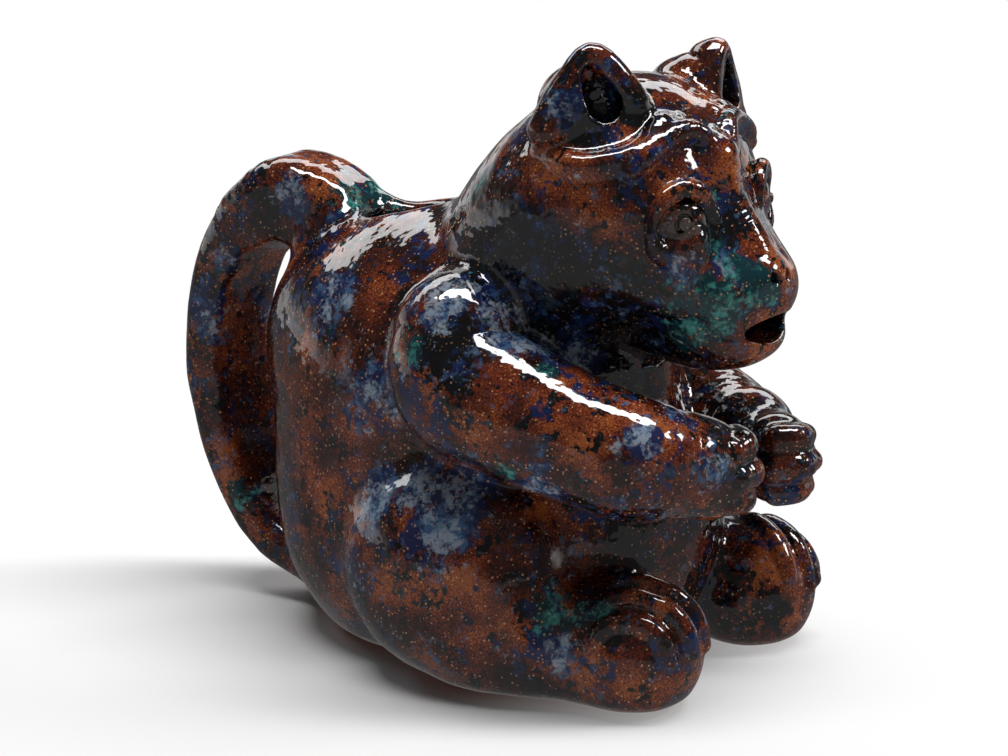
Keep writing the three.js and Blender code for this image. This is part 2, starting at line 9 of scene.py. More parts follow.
import logging
import math
from abc import ABC, abstractmethod
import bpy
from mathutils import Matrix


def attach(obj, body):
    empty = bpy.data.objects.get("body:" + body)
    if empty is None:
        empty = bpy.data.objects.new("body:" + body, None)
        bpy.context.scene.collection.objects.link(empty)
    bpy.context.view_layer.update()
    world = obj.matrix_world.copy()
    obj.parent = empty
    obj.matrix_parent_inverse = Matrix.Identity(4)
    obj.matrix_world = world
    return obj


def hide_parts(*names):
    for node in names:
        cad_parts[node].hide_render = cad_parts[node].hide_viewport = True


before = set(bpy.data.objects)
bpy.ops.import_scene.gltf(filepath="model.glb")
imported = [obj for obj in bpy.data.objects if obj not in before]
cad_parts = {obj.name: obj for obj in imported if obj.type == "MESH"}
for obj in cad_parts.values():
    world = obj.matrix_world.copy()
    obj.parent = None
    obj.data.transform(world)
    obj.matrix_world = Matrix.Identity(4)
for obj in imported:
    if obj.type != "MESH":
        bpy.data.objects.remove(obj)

from concurrent.futures import ThreadPoolExecutor
from dataclasses import dataclass, field
from enum import Enum
from functools import lru_cache

import bpy
import numpy as np
from mathutils import Matrix, Vector

LOG = logging.getLogger("bear_jug")
MM = 0.001
FAR = 60.0  # a distance beyond any blend
BODY = "root"
IMAGE_WIDTH = 1008

Vec = tuple[float, float, float]
Pairs = tuple[tuple[float, float], ...]
Radii = tuple[float, ...]
Box = tuple[np.ndarray, np.ndarray]
Array = np.ndarray


class Side(Enum):
    """The bear's own right and left, as the sign of X."""

    RIGHT = -1
    LEFT = 1

    @property
    def label(self) -> str:
        """Prefix of the side's pieces."""
        return self.name.lower()


class Slot(Enum):
    """Material slots of the record."""

    RUST = "rust_glaze"
    DARK = "dark_glaze"
    BLUE = "blue_glaze"
    TEAL = "teal_glaze"


class Oxide(Enum):
    """What was dabbed into the glaze, and the mesh attribute that carries it; one of them is a painted
    reflection, not an oxide.
    """

    COBALT = "cobalt"
    COPPER = "copper"
    IRON = "iron"
    RUST = "rust"
    # Grey painted reflection of the white floor on the eyeballs, not an oxide
    SLIP = "slip"


def way_to(side: float, lift: float = 0.0) -> Vec:
    """Returns the way at degrees from straight ahead, towards the bear's left, and above level."""
    a, e = math.radians(side), math.radians(lift)
    return (math.sin(a) * math.cos(e), -math.cos(a) * math.cos(e), math.sin(e))


# Forms of clay


@dataclass(frozen=True)
class Turn:
    """A turn about an upright axis.

    Attributes:
        pivot: A point on the axis, in millimetres.
        degrees: Angle, anticlockwise from above.
    """

    pivot: Vec
    degrees: float

    def point(self, at: Vec) -> Vec:
        """Returns a point carried by the turn."""
        c, s = math.cos(math.radians(self.degrees)), math.sin(math.radians(self.degrees))
        x, y = at[0] - self.pivot[0], at[1] - self.pivot[1]
        return (self.pivot[0] + c * x - s * y, self.pivot[1] + s * x + c * y, at[2])


class Shape(ABC):
    """A form of clay, or of the tool that cuts it."""

    @abstractmethod
    def distance(self, points: Array) -> Array:
        """Returns the signed distance to the skin, negative inside."""

    @abstractmethod
    def reach(self) -> Box:
        """Returns the lowest and highest corner of the form."""

    @abstractmethod
    def carried(self, turn: Turn) -> "Shape":
        """Returns the form after a turn."""


@dataclass(frozen=True)
class Egg(Shape):
    """An egg of clay: a centre, three half sizes and a turn in degrees about X, then Z."""

    centre: Vec
    radii: Vec
    lean: float = 0.0
    turn: float = 0.0

    def axes(self) -> Array:
        """Returns the egg's own axes as columns."""
        a, c = math.radians(self.lean), math.radians(self.turn)
        about_x = np.array([[1, 0, 0], [0, math.cos(a), -math.sin(a)], [0, math.sin(a), math.cos(a)]])
        about_z = np.array([[math.cos(c), -math.sin(c), 0], [math.sin(c), math.cos(c), 0], [0, 0, 1]])
        return about_z @ about_x

    def distance(self, points: Array) -> Array:
        """Returns the signed distance to the skin, negative inside."""
        radii = np.array(self.radii)
        scaled = ((points - np.array(self.centre)) @ self.axes() + 1e-5) / radii
        level = np.sqrt((scaled**2).sum(1))
        steep = np.sqrt(((scaled / radii) ** 2).sum(1))
        return level * (level - 1) / steep

    def reach(self) -> Box:
        """Returns the lowest and highest corner of the form."""
        half = np.sqrt(((self.axes() * np.array(self.radii)) ** 2).sum(1))
        return np.array(self.centre) - half, np.array(self.centre) + half

    def carried(self, turn: Turn) -> "Egg":
        """Returns the form after a turn."""
        return Egg(turn.point(self.centre), self.radii, self.lean, self.turn + turn.degrees)

    def on_skin(self, side: float, lift: float, proud: float = 0.0) -> Vec:
        """Finds a point at the skin of an upright egg.

        Args:
            side: Degrees from straight ahead, towards the bear's left.
            lift: Degrees above level.
            proud: Millimetres outside the skin.

        Returns:
            The point.
        """
        way = way_to(side, lift)
        return tuple(c + w * (r + proud) for c, w, r in zip(self.centre, way, self.radii))

    def grown(self, by: float) -> "Egg":
        """Returns the egg with a thicker or thinner skin."""
        return Egg(self.centre, tuple(r + by for r in self.radii), self.lean, self.turn)


@lru_cache(maxsize=None)
def smooth_route(points: tuple[Vec, ...], radii: Radii, steps: int) -> tuple[Array, Array]:
    """Draws an even curve through points.

    Args:
        points: Points that the curve goes through.
        radii: Radius at each point.
        steps: Straight pieces between two points.

    Returns:
        The curve's points and the radius at each of them.
    """
    p, r = np.array(points, float), np.array(radii, float)
    ends = np.vstack([2 * p[0] - p[1], p, 2 * p[-1] - p[-2]])
    line, thick = [], []
    for i in range(len(p) - 1):
        a, b, c, d = ends[i : i + 4]
        for t in np.linspace(0, 1, steps, endpoint=False):
            bend = (2 * a - 5 * b + 4 * c - d) * t * t + (3 * b - a - 3 * c + d) * t**3
            line.append(0.5 * (2 * b + (c - a) * t + bend))
            ease = t * t * (3 - 2 * t)
            thick.append(r[i] * (1 - ease) + r[i + 1] * ease)
    return np.vstack([line, p[-1:]]), np.append(thick, r[-1])


@dataclass(frozen=True)
class Coil(Shape):
    """A rolled coil with round ends along a curve, with a radius at each of its points."""

    route: tuple[Vec, ...]
    radii: Radii
    steps: int = 5

    def distance(self, points: Array) -> Array:
        """Returns the signed distance to the skin, negative inside."""
        line, thick = smooth_route(self.route, self.radii, self.steps)
        nearest = np.full(len(points), FAR)
        for a, b, ra, rb in zip(line[:-1], line[1:], thick[:-1], thick[1:]):
            along = b - a
            share = np.clip((points - a) @ along / (along @ along), 0, 1)
            gap = np.sqrt(((points - a - share[:, None] * along) ** 2).sum(1)) - (ra + (rb - ra) * share)
            nearest = np.minimum(nearest, gap)
        return nearest

    def reach(self) -> Box:
        """Returns the lowest and highest corner of the form."""
        line, thick = smooth_route(self.route, self.radii, self.steps)
        return (line - thick[:, None]).min(0), (line + thick[:, None]).max(0)

    def carried(self, turn: Turn) -> "Coil":
        """Returns the form after a turn."""
        return Coil(tuple(turn.point(p) for p in self.route), self.radii, self.steps)


@dataclass(frozen=True)
class Strap(Shape):
    """A strap along a curve in the plane X = 0, flat towards the inside of its bend and rounded outside.

    Attributes:
        route: Points of the centreline, from the upper root over the top and down.
        thicknesses: Thickness across the bend at each point.
        half_width: Half the width along X.
        inner_edge: Rounding of the two inner edges.
        outer_edge: Rounding of the two outer edges.
        slant: How far the inner face leans to the right, as a slope.
        steps: Straight pieces between two points of the centreline.
    """

    route: tuple[Vec, ...]
    thicknesses: Radii
    half_width: float
    inner_edge: float
    outer_edge: float
    slant: float = 0.0
    steps: int = 4

    def distance(self, points: Array) -> Array:
        """Returns the signed distance to the skin, negative inside."""
        line, thick = smooth_route(self.route, self.thicknesses, self.steps)
        line = line[:, 1:]
        y, z = points[:, 1], points[:, 2]
        best = np.full(len(points), np.inf)
        outward, beyond, half = (np.zeros(len(points)) for _ in range(3))
        last = len(line) - 2
        for i, (a, b) in enumerate(zip(line[:-1], line[1:])):
            e = b - a
            length = math.hypot(*e)
            free = ((y - a[0]) * e[0] + (z - a[1]) * e[1]) / length**2
            share = np.clip(free, 0, 1)
            across = ((z - a[1]) * e[0] - (y - a[0]) * e[1]) / length
            ended = (i == 0) & (free < 0) | (i == last) & (free > 1)
            past = np.where(ended, np.abs(free - share) * length, 0)
            dy, dz = y - a[0] - share * e[0], z - a[1] - share * e[1]
            gap = np.hypot(dy, dz)
            closer = gap < best
            best = np.where(closer, gap, best)
            side = np.where(past > 0, across, np.copysign(gap, across))
            outward = np.where(closer, side, outward)
            beyond = np.where(closer, past, beyond)
            half = np.where(closer, (thick[i] + (thick[i + 1] - thick[i]) * share) / 2, half)
        sides = np.abs(points[:, 0]) - self.half_width
        inner = -outward - half - self.slant * points[:, 0]
        section = smooth_max(smooth_max(sides, outward - half, self.outer_edge), inner, self.inner_edge)
        return np.hypot(np.maximum(section, 0), beyond) + np.minimum(section, 0)

    def reach(self) -> Box:
        """Returns the lowest and highest corner of the form."""
        line, thick = smooth_route(self.route, self.thicknesses, self.steps)
        half = np.stack([np.full(len(thick), self.half_width), thick / 2, thick / 2], 1)
        return (line - half).min(0), (line + half).max(0)

    def carried(self, turn: Turn) -> "Strap":
        """Returns the strap itself, because it stays in its plane."""
        return self


@dataclass(frozen=True)
class Ring(Shape):
    """A ring pressed into the clay: a circle round a level axis, with a round section."""

    centre: Vec
    side: float
    radius: float
    thickness: float

    def distance(self, points: Array) -> Array:
        """Returns the signed distance to the skin, negative inside."""
        local = points - np.array(self.centre)
        depth = local @ np.array(way_to(self.side))
        wide = np.sqrt(np.maximum((local**2).sum(1) - depth**2, 0))
        return np.hypot(wide - self.radius, depth) - self.thickness

    def reach(self) -> Box:
        """Returns the lowest and highest corner of the form."""
        half = self.radius + self.thickness
        return np.array(self.centre) - half, np.array(self.centre) + half

    def carried(self, turn: Turn) -> "Ring":
        """Returns the form after a turn."""
        return Ring(turn.point(self.centre), self.side + turn.degrees, self.radius, self.thickness)


def smooth_min(a: Array, b: Array, soft: float) -> Array:
    """Joins two forms with a fillet of about that softness in millimetres."""
    h = np.maximum(soft - np.abs(a - b), 0) / soft
    return np.minimum(a, b) - h * h * soft * 0.25


def smooth_max(a: Array, b: Array, soft: float) -> Array:
    """Cuts one form by another with a rounding of about that softness in millimetres."""
    return -smooth_min(-a, -b, soft)


@dataclass(frozen=True)
class Lump:
    """A form and how softly it was worked into the lumps before it, in millimetres."""

    shape: Shape
    soft: float


@dataclass(frozen=True)
class Seam:
    """A level joint that splits one lump between two pieces."""

    height: float
    above: bool

    def beyond(self, points: Array) -> Array:
        """Returns how far points are on the wrong side of the seam."""
        return self.height - points[:, 2] if self.above else points[:, 2] - self.height


@dataclass(frozen=True)
class Piece:
    """A named piece of the jug.

    Attributes:
        name: Node of the part that this piece stands for.
        slot: Material slot in the record; not used.
        lumps: The forms it is made of, in the order in which they were pressed on.
        join: How softly the piece was worked into the clay before it, in millimetres.
        step: Spacing of its mesh, in millimetres.
        seam: Joint to the piece that shares its lumps, if there is one.
    """

    name: str
    slot: Slot
    lumps: tuple[Lump, ...]
    join: float
    step: float
    seam: Seam | None = None

    def reach(self) -> Box:
        """Returns the lowest and highest corner of the piece."""
        lows, highs = zip(*(lump.shape.reach() for lump in self.lumps))
        return np.min(lows, axis=0), np.max(highs, axis=0)

    def distance(self, points: Array) -> Array:
        """Returns the signed distance to the piece by itself."""
        whole = self.lumps[0].shape.distance(points)
        for lump in self.lumps[1:]:
            whole = smooth_min(whole, lump.shape.distance(points), lump.soft)
        return whole


@dataclass(frozen=True)
class Wave:
    """One slow unevenness that fingers leave in the clay."""

    way: Vec
    length: float
    depth: float
    phase: float


def finger_waves() -> tuple[Wave, ...]:
    """Lays out the unevenness of hand-pressed clay and of the flowed glaze, from broad to fine.

    Returns:
        Waves with their direction, length and depth in millimetres.
    """
    waves = []
    random = np.random.default_rng(11)
    for length, depth, count in ((52.0, 0.16, 5), (27.0, 0.075, 6), (13.0, 0.028, 7), (6.6, 0.008, 8)):
        for _ in range(count):
            way = random.normal(size=3)
            way /= np.linalg.norm(way)
            drawn = length * random.uniform(0.8, 1.25)
            waves.append(Wave(tuple(way), drawn, depth, random.uniform(0, math.tau)))
    return tuple(waves)


@dataclass
class Skin:
    """The mesh of one piece, in millimetres, with what the glaze needs to know at each vertex."""

    points: Array
    faces: Array
    normals: Array
    layers: dict[str, Array]


@dataclass
class Clay:
    """All the clay of the jug, which is shaped as a whole and skinned piece by piece.

    Attributes:
        pieces: The named pieces.
        cuts: Forms that were cut away afterwards.
        waves: Unevenness of the surface.
        base_round: Rounding of the lower edge where the jug was wiped, in millimetres.
        overlap: How far a piece reaches into its neighbours, in millimetres.
        near: Margin round a piece within which it is joined to others, in millimetres.
        margin: Margin of a piece's grid, in millimetres.
        seam_margin: The same beyond a seam.
        below: The same below the table.
        band: Distance from a piece within which its grid is measured, in millimetres.
        probe: Spacing at which slopes are measured, in millimetres.
        pool_reach: How far above the skin a pool of glaze looks for other clay, in millimetres.
    """

    pieces: list[Piece] = field(default_factory=list)
    cuts: list[Lump] = field(default_factory=list)
    waves: tuple[Wave, ...] = field(default_factory=finger_waves)
    base_round: float = 5.0
    overlap: float = 1.0
    near: float = 9.0
    margin: float = 3.5
    seam_margin: float = 6.0
    below: float = 1.0
    band: float = 7.0
    probe: float = 0.06
    pool_reach: float = 3.2

    def uneven(self, points: Array) -> Array:
        """Returns how far the hand-worked surface lies off the plain form."""
        total = np.zeros(len(points))
        for wave in self.waves:
            turns = points @ np.array(wave.way) / wave.length
            total += wave.depth * np.sin(math.tau * turns + wave.phase)
        return total

    def solid(self, points: Array, owner: Piece | None = None) -> tuple[Array, Array]:
        """Measures the worked clay before anything is cut from it.

        Args:
            points: Places to measure, one row each.
            owner: Piece whose share of the clay is wanted.

        Returns:
            Signed distance to the clay, and how much nearer other pieces are than the owner.
        """
        whole, own, others = (np.full(len(points), FAR) for _ in range(3))
        joined: set[int] = set()
        for piece in self.pieces:
            near = within(points, piece.reach(), piece.join + self.near)
            if not near.size:
                continue
            gap = piece.distance(points[near])
            if id(piece.lumps) not in joined:
                whole[near] = smooth_min(whole[near], gap, piece.join)
                joined.add(id(piece.lumps))
            if piece.seam:
                gap = np.maximum(gap, piece.seam.beyond(points[near]))
            share = own if piece is owner else others
            share[near] = np.minimum(share[near], gap)
        return whole, own - others

    def cut(self, points: Array, whole: Array) -> Array:
        """Takes the hollows, holes and pressed lines out of the clay, and levels the base.

        Args:
            points: Places to measure.
            whole: Signed distance to the clay at them.

        Returns:
            Signed distance to what is left.
        """
        left = whole.copy()
        for tool in self.cuts:
            near = within(points, tool.shape.reach(), tool.soft + 2.0)
            if near.size:
                left[near] = smooth_max(left[near], -tool.shape.distance(points[near]), tool.soft)
        return smooth_max(left, -points[:, 2], self.base_round)

    def share(self, points: Array, owner: Piece) -> Array:
        """Measures one piece, which reaches a little into its neighbours below the surface.

        Args:
            points: Places to measure.
            owner: The piece.

        Returns:
            Signed distance, negative inside.
        """
        whole, behind = self.solid(points, owner)
        left = self.cut(points, whole + self.uneven(points))
        return left + np.maximum(behind, 0) ** 2 / (2 * self.overlap)

    def slopes(self, points: Array, owner: Piece) -> tuple[Array, Array]:
        """Measures one piece and the way its distance grows.

        Args:
            points: Places to measure.
            owner: The piece.

        Returns:
            Signed distances and their slopes.
        """
        corners = np.array([[1, -1, -1], [-1, -1, 1], [-1, 1, -1], [1, 1, 1]], float)
        values = [self.share(points + self.probe * corner, owner) for corner in corners]
        slope = sum(v[:, None] * c for v, c in zip(values, corners)) / (4 * self.probe)
        return sum(values) / 4, slope

    def skin(self, piece: Piece) -> Skin:
        """Meshes one piece.

        Args:
            piece: The piece.

        Returns:
            Its closed mesh.
        """
        low, high = piece.reach()
        low, high = low - self.margin, high + self.margin
        low[2] = max(low[2], -self.below)
        if piece.seam and piece.seam.above:
            low[2] = piece.seam.height - self.seam_margin
        elif piece.seam:
            high[2] = piece.seam.height + self.seam_margin
        step = 2 * piece.step
        counts = np.ceil((high - low) / step).astype(int) + 1
        axes = [low[i] + step * np.arange(counts[i]) for i in range(3)]
        grid = np.stack(np.meshgrid(*axes, indexing="ij"), -1).reshape(-1, 3)
        near = np.flatnonzero(piece.distance(grid) < self.band)
        values = np.full(len(grid), FAR)
        values[near] = self.share(grid[near], piece)
        points, faces = skin_net(values.reshape(counts), low, step)
        points, _ = self.settled(points, piece, 2)
        points, faces = halved(points, faces)
        points, normals = self.settled(points, piece, 2)
        return Skin(points, faces, normals, {"pool": self.pooled(points, normals)})

    def settled(self, points: Array, piece: Piece, passes: int) -> tuple[Array, Array]:
        """Draws mesh points on to the piece's true surface.

        Args:
            points: Points near the surface.
            piece: The piece.
            passes: How often they are moved.

        Returns:
            The moved points and the outward direction at each.
        """
        for _ in range(passes):
            gap, slope = self.slopes(points, piece)
            steep = np.maximum((slope**2).sum(1), 0.05)
            points = points - np.clip(gap / steep, -piece.step, piece.step)[:, None] * slope
        return points, slope / np.maximum(np.linalg.norm(slope, axis=1), 1e-6)[:, None]

    def pooled(self, points: Array, normals: Array) -> Array:
        """Returns how much a melted glaze pools at points because other clay is near, from 0 to 1."""
        gap, _ = self.solid(points + self.pool_reach * normals)
        return np.clip(1 - gap / self.pool_reach, 0, 1)


def within(points: Array, box: Box, pad: float) -> Array:
    """Finds the points in a box.

    Args:
        points: Places, one row each.
        box: Lowest and highest corner.
        pad: Margin round the box.

    Returns:
        Row numbers of the points inside.
    """
    low, high = box[0] - pad, box[1] + pad
    if not len(points) or (points.max(0) < low).any() or (points.min(0) > high).any():
        return np.zeros(0, int)
    inside = np.ones(len(points), bool)
    for axis in range(3):
        inside &= (points[:, axis] > low[axis]) & (points[:, axis] < high[axis])
    return np.flatnonzero(inside)


def halved(points: Array, faces: Array) -> tuple[Array, Array]:
    """Splits each four-sided face into four.

    Args:
        points: Corner points.
        faces: Faces, four corners each.

    Returns:
        Points and faces of the finer net.
    """
    edges = np.stack([faces, np.roll(faces, -1, 1)], 2)
    keys = np.sort(edges.reshape(-1, 2), 1)
    single, place = np.unique(keys[:, 0] * len(points) + keys[:, 1], return_inverse=True)
    middles = (points[single // len(points)] + points[single % len(points)]) / 2
    centres = points[faces].mean(1)
    middle = len(points) + place.reshape(-1, 4)
    centre = len(points) + len(middles) + np.arange(len(faces))
    quads = [np.stack([faces[:, i], middle[:, i], centre, middle[:, i - 1]], 1) for i in range(4)]
    return np.vstack([points, middles, centres]), np.vstack(quads)


def skin_net(values: Array, low: Array, step: float) -> tuple[Array, Array]:
    """Draws a net of four-sided faces over the zero level of a grid of distances.

    Args:
        values: Signed distances on a grid.
        low: Place of the grid's first point.
        step: Grid spacing.

    Returns:
        Points and faces.
    """
    inside = values < 0
    counts = np.array(values.shape)
    crossed = np.zeros(counts - 1, bool)
    corners = [(x, y, z) for x in (0, 1) for y in (0, 1) for z in (0, 1)]
    for x, y, z in corners:
        window = inside[x : counts[0] - 1 + x, y : counts[1] - 1 + y, z : counts[2] - 1 + z]
        crossed |= window != inside[:-1, :-1, :-1]
    cells = np.argwhere(crossed)
    number = np.full(crossed.shape, -1, np.int64)
    number[crossed] = np.arange(len(cells))
    at = {c: values[cells[:, 0] + c[0], cells[:, 1] + c[1], cells[:, 2] + c[2]] for c in corners}
    total, hits = np.zeros((len(cells), 3)), np.zeros(len(cells))
    for start in corners:
        for axis in (a for a in range(3) if start[a] == 0):
            end = tuple(1 if i == axis else start[i] for i in range(3))
            cross = (at[start] < 0) != (at[end] < 0)
            share = at[start][cross] / (at[start][cross] - at[end][cross])
            place = np.tile(np.array(start, float), (len(share), 1))
            place[:, axis] = share
            total[cross] += place
            hits[cross] += 1
    points = low + step * (cells + total / hits[:, None])
    faces = []
    for axis in range(3):
        u, v = (axis + 1) % 3, (axis + 2) % 3
        before = inside.take(range(counts[axis] - 1), axis)
        edges = np.argwhere(before != inside.take(range(1, counts[axis]), axis))
        at_rim = [(edges[:, a] == 0) | (edges[:, a] == counts[a] - 1) for a in (u, v)]
        edges = edges[~(at_rim[0] | at_rim[1])]
        ring = []
        for du, dv in ((1, 1), (0, 1), (0, 0), (1, 0)):
            cell = edges.copy()
            cell[:, u] -= du
            cell[:, v] -= dv
            ring.append(number[cell[:, 0], cell[:, 1], cell[:, 2]])
        quads = np.stack(ring, 1)
        away = ~inside[edges[:, 0], edges[:, 1], edges[:, 2]]
        quads[away] = quads[away][:, ::-1]
        faces.append(quads)
    return points, np.vstack(faces)


# Glaze


def linear(colour: str) -> tuple[float, float, float, float]:
    """Turns an sRGB hex colour to linear light.

    Args:
        colour: Six hex digits after a hash.

    Returns:
        Linear red, green, blue and an alpha of 1.
    """
    parts = [int(colour[i : i + 2], 16) / 255 for i in (1, 3, 5)]
    lit = [p / 12.92 if p <= 0.04045 else ((p + 0.055) / 1.055) ** 2.4 for p in parts]
    return (*lit, 1.0)


def cleared(owner: bpy.types.Material | bpy.types.World) -> bpy.types.NodeTree:
    """Returns the emptied node tree of a material or world."""
    owner.use_nodes = True
    owner.node_tree.nodes.clear()
    return owner.node_tree


def add_node(tree: bpy.types.NodeTree, kind: str, inputs: dict, **settings: object) -> object:
    """Adds a shader node with its settings and links.

    Args:
        tree: Node tree.
        kind: Node type, without its prefix.
        inputs: Value or socket for each input, by name or number.
        settings: Values of the node's own properties.

    Returns:
        The node's outputs.
    """
    node = tree.nodes.new(f"ShaderNode{kind}")
    for name, value in settings.items():
        setattr(node, name, value)
    for key, value in inputs.items():
        if isinstance(value, bpy.types.NodeSocket):
            tree.links.new(value, node.inputs[key])
        else:
            node.inputs[key].default_value = value
    return node.outputs


def ramp(tree: bpy.types.NodeTree, value: object, reach: Radii, ends: Radii = (0.0, 1.0)) -> object:
    """Returns a socket that goes smoothly from one end to the other while a value crosses a reach."""
    rise = {"Value": value, "From Min": reach[0], "From Max": reach[1], "To Min": ends[0], "To Max": ends[1]}
    return add_node(tree, "MapRange", rise, interpolation_type="SMOOTHSTEP")["Result"]


@dataclass(frozen=True)
class Dab:
    """A dab of oxide that was brushed on before the glaze, or a dab of painted reflection.

    Attributes:
        oxide: What it is.
        centre: Its middle, in millimetres.
        radius: How far it spreads.
        strength: How much was brushed on, from 0 to 1.
        both: Whether the other flank has the same dab.
    """

    oxide: Oxide
    centre: Vec
    radius: float
    strength: float = 1.0
    both: bool = True


def dabs_of(oxide: Oxide, *rows: Radii) -> tuple[Dab, ...]:
    """Returns dabs of one oxide from rows of middle, radius and, where it isn't 1, strength."""
    return tuple(Dab(oxide, row[:3], *row[3:]) for row in rows)


@dataclass(frozen=True)
class Coat:
    """One colour of the melt, in grains that gather in patches over the colours below it.

    Attributes:
        colour: Its colour.
        grain: Size of its grains, in millimetres.
        patch: Size of the patches in which they gather, in millimetres.
        start: Level of the pattern at which it begins to show.
        full: Level at which it covers.
        cover: How much it hides where it is full, from 0 to 1.
        warp: How much its grains are drawn out by the flow.
        pulls: How much each layer of the mesh raises the level.
    """

    colour: str
    grain: float
    patch: float
    start: float
    full: float
    cover: float = 1.0
    warp: float = 0.0
    pulls: tuple[tuple[str, float], ...] = ()


